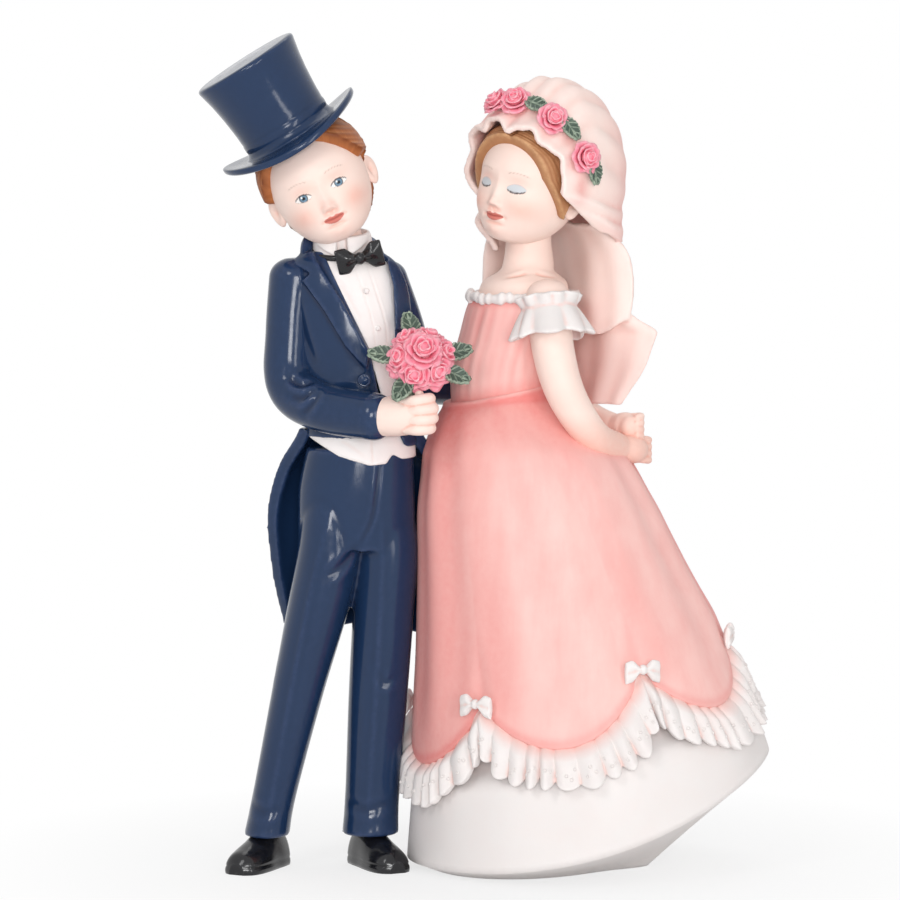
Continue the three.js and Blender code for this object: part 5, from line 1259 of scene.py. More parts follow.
class TOPPER_OT_trousers(bpy.types.Operator):
    """Casts the trousers with their creases and folds"""

    bl_idname = "topper.trousers"
    bl_label = "Trousers"

    def execute(self, context):
        rows = [
            [57.0, 1.7, 0.4, 21.0, 13.8], [62.1, 1.7, 0.6, 20.9, 15.5], [68.05, 1.7, 0.6, 20.6, 16.0],
            [75.2, 2.3, 0.4, 19.0, 14.9],
        ]
        parts = [loft([[z, GROOM[0] + x, GROOM[1] + y, w, d] for z, x, y, w, d in rows], 96, 40, 0.04)]
        for foot, top, y, full in ((-14.5, -3.04, -0.98, 0.91), (4.0, 7.0, 0.78, 1.13)):
            rows = [
                [5.6, foot, y, 9.0 * full, 10.6],
                [12.65, mix(foot, top, 0.12), y, 8.62 * full, 9.7],
                [30.8, mix(foot, top, 0.48), y - 0.6, 9.8 * mix(1, full, 0.6), 10.3],
                [45.9, mix(foot, top, 0.8), y, 11.0, 12.65],
                [57.0, top, y + 0.4, 11.5, 13.6],
                [64.0, 0.9 * top, y + 0.4, 10.2, 12.6],
                [71.0, 0.6 * top, y + 0.4, 7.0, 9.0],
            ]
            parts.append(loft(
                [[z, GROOM[0] + x, GROOM[1] + yy, w, d] for z, x, yy, w, d in rows], 72, 90, 0.02))
        marks = [
            ([(-27.8, 64.0), (-30.9, 52.0), (-34.9, 32.0), (-39.2, 8.0)], 0.6, -0.25, 0.0, 0.0, 0),
            ([(-18.8, 64.0), (-18.8, 52.0), (-19.8, 32.0), (-21.4, 8.0)], 0.6, -0.25, 0.0, 0.0, 0),
            ([(-19.0, 74.0), (-19.6, 68.0), (-20.6, 62.5), (-22.6, 58.6)], 0.4, 0.3, 0.08, 0.3, 0),
            ([(-22.8, 58.4), (-25.4, 55.0), (-28.4, 52.6)], 0.9, 0.4, 0.15, 0.2, 0),
            ([(-19.4, 36.0), (-18.2, 33.6), (-16.4, 34.8)], 0.8, 0.15, 0.08, 0.1, 0),
            ([(-42.0, 11.6), (-39.6, 10.4), (-36.8, 11.4)], 0.9, 0.22, 0.1, 0.1, 0),
            ([(-25.0, 11.8), (-21.6, 10.6), (-17.6, 11.8)], 0.9, 0.22, 0.1, 0.1, 0),
            ([(16.6, 36.0), (20.0, 33.6), (24.0, 35.0)], 0.9, 0.3, 0.15, 0.2, 180),
            ([(31.0, 36.0), (34.5, 33.6), (38.4, 35.0)], 0.9, 0.3, 0.15, 0.2, 180),
        ]
        trousers = strokes(cast(parts, TROUSER_GRAIN, 4), marks)
        piece("trousers_visual", trousers, finish("navy_gloss"), "navy_paint", "trousers")
        return {"FINISHED"}


class TOPPER_OT_shoes(bpy.types.Operator):
    """Models the glossy shoes with their soles"""

    bl_idname = "topper.shoes"
    bl_label = "Shoes"

    def execute(self, context):
        for name, x, y, toe in (("right_shoe", -14.5, -0.98, -28), ("left_shoe", 4.0, 0.78, 28)):
            shoe = moved(self.shoe(), turned(0, 0, toe), GROOM + np.array([x, y, 0]))
            piece(name + "_visual", shaded(shoe, 0.6), finish("black_gloss"), "black_paint", name)
        return {"FINISHED"}

    def shoe(self):
        """Shoe along -Y with a welted sole, its ankle over the origin."""
        shape = [
            [0.3, 0.3, 0.5], [0.26, 0.72, 0.85], [0.12, 0.86, 1], [-0.08, 0.92, 1], [-0.28, 1, 0.8],
            [-0.48, 1, 0.64], [-0.62, 0.82, 0.52], [-0.69, 0.42, 0.3],
        ]
        long, wide, tall = size("shoe_length"), size("shoe_width"), size("shoe_height")

        def place(u, v):
            along, opened = ends(v, 0.04)
            y, w, t = spline(shape, along).T
            angle = 2 * math.pi * u
            z = np.clip(np.sin(angle), 0, 1) ** 0.9 * t * tall * np.sqrt(opened)
            x = np.sign(np.cos(angle)) * np.abs(np.cos(angle)) ** 0.9 * w * wide / 2 * np.sqrt(opened)
            welt = 1 - 0.05 * np.exp(-(((z - 1.35) / 0.22) ** 2)) - 0.04 * step(0.5, 0.0, z)
            return stacked(x * welt, y * long, z)

        return warped(132, 92, place)


class TOPPER_OT_groom_hands(bpy.types.Operator):
    """Casts the groom's hands: the fist round the posy and the hand on the bride's back"""

    bl_idname = "topper.groom_hands"
    bl_label = "Groom's hands"

    def execute(self, context):
        long, wide = 10.5, 7.4
        palm = [(-2.0, 0, 0), (3.1, -0.03 * wide, 0), (7.4, -0.05 * wide, 0)]
        parts = [tube(palm, [0.78 * wide, 0.96 * wide, 0.9 * wide], 48, 40, 0.16)]
        for rise, reach in zip((0.33, 0.11, -0.11, -0.33), (0.98, 1.02, 1.0, 0.94)):
            height = 1.06 * rise * wide
            curl = [
                (0.55 * long, -0.3 * wide, 0.96 * height),
                (0.82 * long * reach, -0.4 * wide, height),
                (1.0 * long * reach, -0.16 * wide, height),
                (0.86 * long * reach, 0.2 * wide, 0.92 * height),
            ]
            parts.append(tube(curl, [0.2 * wide, 0.27 * wide, 0.28 * wide, 0.25 * wide], 28, 40, 0.14))
        thumb = [
            (0.3 * long, 0.1 * wide, 0.36 * wide), (0.56 * long, 0.04 * wide, 0.52 * wide),
            (0.8 * long, -0.1 * wide, 0.5 * wide),
        ]
        parts.append(tube(thumb, [0.28 * wide, 0.28 * wide, 0.22 * wide], 28, 30, 0.16))
        fist = cast(parts, HAND_GRAIN, 3)
        heading = np.array([0.799, -0.535, -0.275])
        moved(fist, towards((1, 0, 0), (0.96, -0.26, 0.1)), RIGHT_CUFF + 0.35 * heading)
        piece(
            "groom_right_hand_visual", shaded(fist, 0.6), finish("bisque"), "skin_paint", "groom_right_hand")

        start, lead = GROOM + np.array([18.6, 15.6, 85.5]), np.array([0.722, 0.662, -0.2])
        palm = [
            start + lead * (0.35 + share * 0.4 * long) + (share * 0.6 * long, 0, 0)
            for share in (0, 0.4, 0.8)
        ]
        parts = [tube(palm, [5.6, 5.8, 4.6], 40, 40, 0.14)]
        for rise in (1.9, 0.65, -0.65, -1.9):
            finger = [palm[1] + (1.2, 0, rise), palm[2] + (0, 0.2, rise), palm[2] + (2.0, -0.5, 0.8 * rise)]
            parts.append(tube(finger, [1.8, 1.8, 1.6], 20, 24, 0.18))
        hand = cast(parts, HAND_GRAIN, 3)
        piece("groom_left_hand_visual", shaded(hand, 0.6), finish("bisque"), "skin_paint", "groom_left_hand")
        return {"FINISHED"}


def rose(diameter, seed):
    """Rose of curled petals about Z, with its heart on top."""
    draw = np.random.default_rng(seed)
    r = diameter / 2
    petals = []
    rings = (
        (3, 0.3, 0.74, 0.04, 0.95), (4, 0.54, 0.64, 0.14, 0.86),
        (5, 0.8, 0.44, 0.26, 0.78), (6, 1.02, 0.16, 0.34, 0.74),
    )
    for count, reach, rise, curl, span in rings:
        first = draw.uniform(0, 2 * math.pi)
        for k in range(count):
            centre = first + 2 * math.pi * k / count + draw.uniform(-0.12, 0.12)
            lift = draw.uniform(-0.08, 0.08)
            wave = draw.uniform(0, 2 * math.pi)

            def place(u, v):
                across = 2 * u - 1
                way = v * (1 - 0.16 * across**2)
                angle = centre + across * span * (2 * math.pi / count) * 0.95
                ruffled = 0.07 * np.sin(5 * across + wave) * way**3
                radius = (
                    reach * (0.3 + 0.62 * np.sin(way * math.pi / 2)) + curl * way**5 + 0.05 * across
                    + ruffled)
                height = mix(-0.5, rise + lift, way) - 0.8 * curl * way**6 + ruffled
                return stacked(np.cos(angle) * radius * r, np.sin(angle) * radius * r, height * r)

            petals.append(shaded(thickened(warped(10, 8, place), 0.09 * r), 0.35, 1))
    bud = shaded(ball((0, 0, 0.12 * r), (0.5 * r, 0.5 * r, 0.42 * r), 16, 10), 0.35, 1)
    return joined(bud, *petals)


def leaf(length):
    """Leaf along X from its stalk, toothed, folded along its midrib and veined."""
    broad, fold = 0.64 * length, 0.1 * length

    def place(u, v):
        side = 2 * v - 1
        outline = 0.1 + 0.9 * np.sin(math.pi * np.clip(0.05 + 0.93 * u, 0, 1)) ** 0.8
        tooth = 1 - 0.1 * np.abs(side) ** 3 * (0.5 + 0.5 * np.cos(2 * math.pi * 7 * u))
        y = side / 2 * broad * outline * tooth
        vein = 0.16 * np.exp(-((side / 0.1) ** 2))
        branch = np.maximum(0, np.cos(2 * math.pi * (4.5 * u - 1.1 * np.abs(side)))) ** 6
        vein = vein + 0.11 * branch * np.abs(side) ** 0.3
        return stacked(u * length, y, fold * np.abs(side) + fold * u * (1 - u) + vein)

    return shaded(thickened(warped(44, 26, place), 0.11 * length), 0.35, 1)


class TOPPER_OT_posy(bpy.types.Operator):
    """Arranges the posy: seven roses, their leaves and the stems"""

    bl_idname = "topper.posy"
    bl_label = "Posy"

    def execute(self, context):
        wide, flower, green = size("posy_diameter"), size("posy_rose"), size("posy_leaf")
        centre = RIGHT_CUFF + np.array([8.295, -3.18, 11.175])
        facing_turn = towards((0, 0, 1), (0.12, -0.86, 0.5))
        rise = 0.16 * wide
        spots = [(np.array([0, 0, rise]), np.array([0, 0, 1.0]))]
        for k in range(6):
            angle = 2 * math.pi * (k + 0.25) / 6
            outward = np.array([math.cos(angle), math.sin(angle), 0])
            spot = outward * (0.595 * wide - 0.47 * flower) + np.array([0, 0, -rise / 2])
            spots.append((spot, outward + np.array([0, 0, 1.1])))
        for k, (spot, normal) in enumerate(spots):
            turn = facing_turn @ towards((0, 0, 1), normal)
            bloom = moved(rose(flower, 20 + k), turn, centre + facing_turn @ spot)
            piece(f"posy_rose_{k + 1}_visual", bloom, finish("rose_pink"), "rose_paint", f"posy_rose_{k + 1}")
        for k, degrees in enumerate((180, 110, 20, -20, -115)):
            angle = math.radians(degrees)
            stalk = (
                np.array([math.cos(angle), math.sin(angle), 0]) * 0.38 * wide
                + np.array([0, 0, -1.35 * rise]))
            blade = moved(leaf(green), facing_turn @ turned(0, 0, degrees), centre + facing_turn @ stalk)
            piece(
                f"posy_leaf_{k + 1}_visual", blade, finish("leaf_green"), "leaf_paint", f"posy_leaf_{k + 1}")

        profile = [[0.0, -9.5], [1.2, -9.5], [1.35, -9.0], [1.5, -5.6], [2.1, -3.4], [1.6, -1.6], [0.0, -0.6]]
        stem = spun(rounded(profile, 50), 60)
        points = read(stem)
        angle = np.arctan2(points[:, 1], points[:, 0])
        points[:, :2] *= (1 + 0.1 * np.abs(np.sin(3.5 * angle + 0.1 * points[:, 2])) - 0.06)[:, None]
        write(stem, points)
        moved(stem, towards((0, 0, 1), (0.22, -0.08, 1)), centre + np.array([0, 0.6, 0]))
        piece("posy_stem_visual", shaded(stem, 0.5), finish("leaf_green"), "leaf_paint", "posy_stem")
        return {"FINISHED"}


# Outer surface of the dress from the floor up, in shares of its height, its swing and its flare.
DRESS_SHAPE = np.array([
    (0, 1, 1), (0.143, 1, 0.967), (0.25, 0.99, 0.927), (0.369, 0.857, 0.824), (0.542, 0.685, 0.694),
    (0.643, 0.539, 0.592), (0.762, 0.386, 0.49), (0.845, 0.29, 0.396), (0.893, 0.22, 0.335),
    (0.923, 0.13, 0.233), (0.958, 0.045, 0.122), (1, 0, 0),
])
DRESS_WAIST_X = -4.6
SKIRT_SWING = 16.3
SCALLOPS = 6
SCALLOP_START = math.radians(-67)
# Angle at which the coral on the skirt is thinnest; it deepens round the sides, where it is partly painted
# shade.
PALE_MIDDLE = math.radians(-62)


def smoothed_profile():
    """Heights of the dress in shares, with its swing and flare there, evened out between the stations."""
    heights = np.linspace(0, 1, 401)
    stations = np.arange(len(DRESS_SHAPE))
    at = np.interp(heights, DRESS_SHAPE[:, 0], stations) / stations[-1]
    reach = 16
    weights = np.hanning(2 * reach + 1)
    columns = []
    for column in spline(DRESS_SHAPE[:, 1:], at).T:
        longer = np.pad(column, reach, mode="reflect", reflect_type="odd")
        columns.append(np.convolve(longer, weights / weights.sum(), "valid"))
    return heights, *columns


DRESS_PROFILE = smoothed_profile()


def dress_ring(height):
    """Middle of the dress across, and its half width and half depth, at heights."""
    heights, swings, flares = DRESS_PROFILE
    share = np.clip(height / SKIRT_HEIGHT, 0, 1)
    flare = np.interp(share, heights, flares)
    wide = mix(size("waist_width"), size("hem_width"), flare) / 2
    deep = mix(0.96 * size("waist_width"), size("hem_depth"), flare) / 2
    return BRIDE[0] + DRESS_WAIST_X + np.interp(share, heights, swings) * SKIRT_SWING, wide, deep


def on_dress(angle, height, sunk):
    """Spots on the dress at angles and heights, sunk inwards by a depth."""
    middle, wide, deep = dress_ring(height)
    return stacked(middle + np.cos(angle) * (wide - sunk), BRIDE[1] + np.sin(angle) * (deep - sunk), height)


def dress_angle(points):
    """Angle round the dress at which points lie."""
    middle, wide, deep = dress_ring(points[:, 2])
    return np.arctan2((points[:, 1] - BRIDE[1]) / deep, (points[:, 0] - middle) / wide)


def towards_swing(angle):
    """How far an angle lies towards the side where the hem swings up."""
    return (1 + np.cos(angle)) / 2


def hem_height(angle):
    """Height of the petticoat's hem."""
    return mix(1.5, 21.0, towards_swing(angle) ** 2.3)


def seam_low(angle):
    """Height of the seam at the lowest point of a swag."""
    return 19.6 + 12.8 * towards_swing(angle)


def swag_share(angle):
    """Way across the swag between two bows, from -1 to 1."""
    turns = (angle - SCALLOP_START) / (2 * math.pi / SCALLOPS)
    return 2 * (turns - np.floor(turns)) - 1


def seam_height(angle):
    """Height of the scalloped seam where the pink skirt ends."""
    return seam_low(angle) + 9.0 * swag_share(angle) ** 2


def waist_height(angle):
    """Height of the seam where the pink skirt meets the bodice."""
    return SKIRT_HEIGHT + 0.9 + 1.9 * np.cos(angle)


class TOPPER_OT_skirts(bpy.types.Operator):
    """Models the petticoat and the draped pink skirt over it"""

    bl_idname = "topper.skirts"
    bl_label = "Skirts"

    def execute(self, context):
        petticoat = warped(230, 100, self.petticoat)
        piece("petticoat_visual", shaded(petticoat, 1.2), finish("lace_white"), "white_paint", "petticoat")
        skirt = warped(380, 200, self.overskirt)
        points = read(skirt)
        angle = dress_angle(points)
        above = points[:, 2] - seam_height(angle)
        share = angle / (2 * math.pi)
        # Coral on the skirt: deeper along its lower edge, towards the waist, round the sides, in the gathers
        # beside the bows and in broad uneven patches; towards the waist, round the sides and in the gathers
        # it is partly painted shade.
        edge = 0.45 * step(2.0, 0.1, above) + 0.55 * step(66.0, 87.0, points[:, 2])
        sides = 0.5 * step(0.9, 0.1, np.abs(np.cos(angle - PALE_MIDDLE)))
        beside = np.mod(swag_share(angle) + 1, 2) - 0.25
        drape = 0.22 * np.exp(-((beside / 0.3) ** 2)) * step(0.0, 8.0, above) * step(46.0, 12.0, above)
        broad = 0.3 * np.clip(ripple(share, 12, (4, 7, 11)), 0, 1) * step(0.0, 8.0, above)
        keep(skirt, "tint_and_shade", np.clip(edge + sides + drape + broad, 0, 1))
        piece("overskirt_visual", shaded(skirt, 1.4), finish("dress_pink"), "coral_paint", "overskirt")
        return {"FINISHED"}

    def petticoat(self, u, v):
        """Base, undercut and wall of the petticoat, from the middle of its base up."""
        angle = 2 * math.pi * u
        hem = hem_height(angle)
        base = on_dress(angle, hem, 22.0 * (1 - np.exp((1.0 - hem) / 2.2)))
        base[:, 2] = 0.0
        rim = on_dress(angle, hem, 0.6)
        flat = step(0.0, 0.1, v)[:, None]
        middle = base * flat + (1 - flat) * np.array([BRIDE[0] + 6.0, BRIDE[1], 0.0])
        rise = np.clip((v - 0.1) / 0.2, 0, 1)[:, None]
        under = mix(middle, rim, rise)
        up = np.clip((v - 0.3) / 0.62, 0, 1)
        height = mix(hem, 81.0, up)
        below = seam_low(angle) - 6.0
        tucked = mix(0.6, 2.9, step(below, below + 5.0, height))
        soft = 0.6 * ripple(u, 5, (7, 9, 13)) * step(0.0, 0.08, up)
        wall = on_dress(angle, height, tucked - soft)
        close = np.clip((v - 0.92) / 0.08, 0, 1)[:, None]
        wall[:, :2] = mix(wall[:, :2], np.array([BRIDE[0] + DRESS_WAIST_X, BRIDE[1]]), close)
        return np.where((v < 0.3)[:, None], under, wall)

    def overskirt(self, u, v):
        """Inner wall, lower edge and outer wall of the pink skirt."""
        angle = 2 * math.pi * u
        seam = seam_height(angle)
        inner = np.clip(1 - v / 0.2, 0, 1)
        outer = np.clip((v - 0.24) / 0.7, 0, 1)
        waist = waist_height(angle)
        height = np.where(v < 0.22, mix(seam, waist - 2.2, inner), mix(seam, waist, outer))
        lip = np.clip((v - 0.2) / 0.04, 0, 1)
        sunk = np.where(v < 0.2, 2.1, 2.1 - 2.1 * np.sin(lip * math.pi / 2))
        height = height - 0.5 * np.sin(math.pi * lip) * (lip < 1)
        above = height - seam
        crease = np.exp(-(((1 - np.abs(swag_share(angle))) / 0.12) ** 2)) * step(14.0, 2.0, above)
        folds = 0.7 * ripple(u, 9, (7, 11, 16)) * step(0.0, 12.0, above) * step(84.0, 68.0, height)
        swell = 0.5 * (1 - swag_share(angle) ** 2) * step(16.0, 2.0, above)
        rolled = 0.35 * np.exp(-(((waist - height) / 0.7) ** 2))
        shape = np.where(v < 0.2, 0.0, crease * 0.4 - folds - swell - rolled)
        wall = on_dress(angle, height, sunk + shape)
        close = np.maximum(np.clip((v - 0.94) / 0.06, 0, 1), np.clip(1 - v / 0.02, 0, 1))[:, None]
        wall[:, :2] = mix(wall[:, :2], np.array([BRIDE[0] + DRESS_WAIST_X, BRIDE[1]]), close)
        return wall


def bow(width, height, depth, droop):
    """Bow of two loops and a knot across X, with its back on the XZ plane."""
    def place(u, v):
        along, opened = ends(v, 0.06)
        x = mix(-0.5, 0.5, along)
        reach = np.abs(x) * 2
        angle = 2 * math.pi * u
        tall = height / 2 * (0.28 + 0.72 * step(0.1, 0.66, reach)) * opened**0.5
        hollow = 0.3 * np.exp(-((np.cos(angle) / 0.35) ** 2)) * step(0.2, 0.6, reach) * (np.sin(angle) > 0)
        thick = depth / 2 * (0.6 + 0.45 * np.sin(math.pi * np.clip(reach, 0, 1)) - hollow) * opened**0.5
        pleat = 0.1 * np.cos(6 * angle) * step(0.8, 0.2, reach)
        out = -depth * 0.55 - np.sin(angle) * (thick + pleat)
        return stacked(x * width, out, np.cos(angle) * tall - droop * reach**2)

    knot = ball((0, -0.62 * depth, 0), (0.11 * width, 0.5 * depth, 0.24 * height), 24, 14)
    return cast([warped(48, 70, place), knot], BOW_GRAIN, 2)


class TOPPER_OT_hem(bpy.types.Operator):
    """Pleats the lace ruffle with its eyelets, and ties the bows on the hem"""

    bl_idname = "topper.hem"
    bl_label = "Hem"

    def execute(self, context):
        ruffle = warped(1100, 34, self.ruffle)
        points = read(ruffle)
        # Deeper pink along the top of the ruffle is painted shade under the edge of the pink skirt.
        top = step(-3.0, -0.2, points[:, 2] - seam_height(dress_angle(points)))
        keep(ruffle, "tint_and_shade", 0.7 * top)
        shaded(ruffle, 0.9)
        eyelets = []
        count = size_count("pleat_count")
        for k in range(count):
            for aside in (-0.22, 0.0, 0.22):
                low = 0.66 + 0.12 * math.sin(2.4 * k + 9 * aside)
                eyelets.append(self.eyelet((k + aside) / count, low))
        lace = joined(ruffle, *eyelets)
        piece("hem_ruffle_visual", lace, finish("lace_white"), "white_paint", "hem_ruffle")
        for k in range(SCALLOPS):
            angle = SCALLOP_START + k * 2 * math.pi / SCALLOPS
            height = seam_height(np.array([angle]))[0] + 0.6
            knot = bow(size("hem_bow"), 3.9, 1.8, 0.6)
            spot = on_dress(np.array([angle]), np.array([height]), -0.5)[0]
            moved(knot, turned(0, 0, math.degrees(angle) + 90), spot)
            name = f"hem_bow_{k + 1}"
            piece(name + "_visual", shaded(knot, 0.9), finish("lace_white"), "white_paint", name)
        return {"FINISHED"}

    def lie(self, u, drop, side):
        """Spots of the ruffle at a share round the hem and a drop below the seam, outside or inside."""
        angle = 2 * math.pi * u
        deep, width = size("pleat_depth"), size("ruffle_width")
        phase = size_count("pleat_count") * u + 0.5 * ripple(u, 31, (7, 11, 17))
        puff = np.abs(np.cos(math.pi * phase)) ** 0.75 - 0.6
        strength = 1.1 + 0.8 * ripple(u, 32, (11, 17, 26))
        opened = np.clip(drop / width, 0, 1)
        nudge = 0.02
        rise = (seam_height(angle + nudge) - seam_height(angle - nudge)) / (nudge * size("hem_depth"))
        fall = drop * (1 + 0.14 * ripple(u, 33, (7, 12, 19)) + 0.18 * strength * puff * opened)
        aside = angle + 0.3 * rise * (1 - swag_share(angle) ** 4) * fall / (0.5 * size("hem_depth"))
        bell = mix(-0.2, 1.0, step(0.0, 0.4, opened)) + 0.25 * ripple(u, 34, (13, 21, 29)) * opened
        proud = deep * (bell + strength * puff * mix(0.35, 0.95, step(0.0, 0.8, opened)))
        height = seam_height(angle) + 0.4 - fall
        return on_dress(aside, height, (1 - side) * 0.5 - proud * side)

    def ruffle(self, u, v):
        """Outer side, rolled lower edge and inner side of the ruffle."""
        width = size("ruffle_width")
        loop = 2 * math.pi * v
        drop = width * (0.5 - 0.5 * np.sign(np.cos(loop)) * np.abs(np.cos(loop)) ** 0.6)
        side = 0.5 + 0.5 * np.clip(np.sin(loop) * 3, -1, 1) * step(0.0, 0.03, np.abs(np.sin(loop)))
        return self.lie(u, drop, mix(0.35, 1.0, side))

    def eyelet(self, share, low):
        """Tiny ring of lace at a share of the ruffle's fall."""
        width = size("ruffle_width")
        drops = np.array([low, low + 0.05, low]) * width
        spot, below, aside = self.lie(np.array([share, share, share + 2e-4]), drops, np.ones(3))
        normal = np.cross(below - spot, aside - spot)
        out = normal * np.sign(
            normal @ np.array([math.cos(2 * math.pi * share), math.sin(2 * math.pi * share), 0]))
        return ring_at(spot, out, 0.28, 0.1, 8, 4)


def size_count(name):
    """A count among the sizes of the figurine."""
    return getattr(bpy.context.scene.topper_sizes, name)


class TOPPER_OT_bodice(bpy.types.Operator):
    """Models the bodice with the frills at its neckline and sleeves"""

    bl_idname = "topper.bodice"
    bl_label = "Bodice"

    def execute(self, context):
        rows = [
            (82.0, -4.6, 18.2, 17.4), (88.7, -4.31, 18.8, 17.7), (95.2, -2.62, 19.0, 19.0),
            (99.4, -1.43, 19.2, 19.0), (101.85, -1.0, 18.24, 18.24),
        ]
        table = [[z, BRIDE[0] + x, BRIDE[1], wide, deep] for z, x, wide, deep in rows]

        def pleats(angle, along):
            share = angle / (2 * math.pi)
            return 0.2 * ripple(share, 44, (12, 19, 27)) * step(0.0, 0.25, along) * step(1.0, 0.7, along)

        bodice = loft(table, 240, 120, 0.03, 0.0, pleats)
        x, y, z = read(bodice).T
        side = np.hypot((x - BRIDE[0] - 1.0) / 9.0, (y - BRIDE[1]) / 9.5)
        waist = waist_height(np.arctan2(y - BRIDE[1], x - BRIDE[0] - DRESS_WAIST_X))
        # Coral on the bodice: thin all over, deeper at the waist seam, round its sides, in a patch on its
        # left where the groom shades it and under the neckline frill; these deeper parts are painted shade.
        tint_and_shade = 0.06 + 0.4 * step(3.0, 0.0, z - waist) + 0.12 * step(0.7, 1.1, side)
        tint_and_shade += 0.3 * bump(x, z, (BRIDE[0] - 9.0, 99.0), (3.0, 4.0)) + 0.3 * step(99.6, 101.0, z)
        keep(bodice, "tint_and_shade", np.clip(tint_and_shade, 0, 1))
        piece("bodice_visual", shaded(bodice, 1.0), finish("dress_pink"), "coral_paint", "bodice")

        frill = warped(380, 36, self.neckline)
        piece(
            "neckline_frill_visual", shaded(frill, 0.5), finish("lace_white"),
            "white_paint", "neckline_frill")
        for side, path in arm_paths().items():
            frill = moved(
                self.sleeve_frill(), towards((0, 0, 1), path[0] - path[1]), mix(path[0], path[1], 0.16))
            name = f"{side}_sleeve_frill"
            piece(name + "_visual", shaded(frill, 0.6), finish("lace_white"), "white_paint", name)
        return {"FINISHED"}

    def neckline(self, u, v):
        """Soft uneven roll of lace round the neckline."""
        angle, loop = 2 * math.pi * u, 2 * math.pi * v
        girth = 0.85 + 0.32 * ripple(u, 51, (13, 22, 31, 43))
        out = 0.5 + 0.8 * girth * np.cos(loop)
        up = 1.1 * girth * np.sin(loop) + 0.35 * ripple(u, 52, (5, 9, 16))
        x = BRIDE[0] + NECKLINE_X + np.cos(angle) * (9.12 + out)
        return stacked(x, BRIDE[1] + np.sin(angle) * (9.12 + out), NECKLINE_HEIGHT + up)

    def sleeve_frill(self):
        """Small ruffle, gathered band and flared frill, about Z, hanging down."""
        wide, arm = size("frill_width") / 2, size("arm_width") / 2
        tiers = []
        for top, fall, reach, waves, sway, seed in (
            (-0.5, -2.0, 0.82, 11, 0.42, 61),
            (-0.9, 4.8, 1.0, 8, 0.8, 62),
        ):
            def place(u, v):
                angle = 2 * math.pi * u
                wave = np.cos(2 * math.pi * (waves * u + 0.3 * ripple(u, seed, (2, 3, 5))))
                out = mix(arm + 0.6, wide * reach, v**0.8) + (0.1 + 0.9 * v) * wave * sway
                drop = top - fall * v - 0.4 * sway * v * wave
                return stacked(np.cos(angle) * out, np.sin(angle) * out, drop)

            tiers.append(thickened(warped(240, 24, place), 0.8))
        band = ring_at((0, 0, -0.7), (0, 0, 1), arm + 0.6, 0.5)
        return cast([*tiers, band], FRILL_GRAIN, 2)


def arm_paths():
    """Paths of the bride's arms from the neckline to the clasped hands."""
    neckline = BRIDE + np.array([NECKLINE_X, 0, NECKLINE_HEIGHT])
    clasp = BRIDE + np.array([15.6, 0, SKIRT_HEIGHT - 8.8])
    scale = np.array([19.2, 19.0, 17.5])
    left = [(0.219, -0.5, 0.034), (0.271, -0.6, -0.514), (0.396, -0.6, -0.971)]
    right = [(-0.115, 0.5, 0.034), (-0.031, 0.62, -0.514), (0.208, 0.64, -0.914)]
    left_end = [(-0.229, -0.474, 0.149), (0.0, -0.158, 0.0)]
    right_end = [(-0.26, 0.4, 0.263), (-0.031, 0.147, 0.171)]
    return {
        "left": [neckline + scale * s for s in left] + [clasp + scale * s for s in left_end],
        "right": [neckline + scale * s for s in right] + [clasp + scale * s for s in right_end],
    }


class TOPPER_OT_bride_body(bpy.types.Operator):
    """Models the bride's shoulders and neck, and the arms with clasped hands"""

    bl_idname = "topper.bride_body"
    bl_label = "Bride's shoulders and arms"

    def execute(self, context):
        rows = [
            (100.6, -1.0, 16.6, 16.8), (104.3, -0.7, 15.0, 16.0),
            (106.25, -0.3, 10.0, 11.4), (108.0, 0.0, 8.95, 8.95),
            (111.4, 0.0, 8.1, 8.1), (115.4, 0.0, 8.1, 8.1),
        ]
        shoulders = loft([[z, BRIDE[0] + x, BRIDE[1], w, d] for z, x, w, d in rows], 120, 90, 0.03)
        marks = [
            ([(3.0, 105.4), (5.4, 105.8), (7.0, 106.2)], 0.5, 0.2, 0.15, 0.15, 0),
            ([(12.0, 105.4), (9.6, 105.8), (8.2, 106.2)], 0.5, 0.2, 0.15, 0.15, 0),
        ]
        shoulders = strokes(shoulders, marks)
        piece("bride_shoulders_visual", shoulders, finish("bisque"), "skin_paint", "bride_shoulders")

        clasp = BRIDE + np.array([15.6, 0, SKIRT_HEIGHT - 8.8])
        wrist = size("wrist_width")
        hands = {
            "left": [(0.096, -0.48, -0.038), (0.577, -0.077, -0.115), (0.692, 0.423, -0.192)],
            "right": [(0, 0.423, 0.577), (0.346, 0.154, 0.635), (0.5, -0.115, 0.654)],
        }
        widths = [mix(size("arm_width"), wrist, share) for share in (0, 0.06, 0.32, 0.7, 1)]
        for side, path in arm_paths().items():
            palm = [clasp + wrist * np.array(spot) for spot in hands[side]]
            parts = [
                tube(path, widths, 64, 110, 0.05),
                tube(palm, [0.9 * wrist, wrist, 0.8 * wrist], 40, 30, 0.2),
            ]
            away = palm[2] - palm[0]
            for rise in (1.8, 0.6, -0.6, -1.8):
                knuckle = palm[1] + 0.45 * away + np.array([1.5, 0, rise])
                tip = palm[2] + 0.35 * away + np.array([0.2, 0, 0.9 * rise])
                finger = [palm[1] + np.array([0.9, 0, rise]), knuckle, tip]
                parts.append(tube(finger, [1.3, 1.4, 1.15], 20, 24, 0.18))
            arm = cast(parts, ARM_GRAIN, 2)
            low = np.clip((82.0 - read(arm)[:, 2]) / 5.0, 0, 1)
            keep(arm, "tint_and_shade", 0.5 * low)
            piece(
                f"bride_{side}_arm_visual", shaded(arm, 0.6), finish("bisque"),
                "skin_paint", f"bride_{side}_arm")
        return {"FINISHED"}


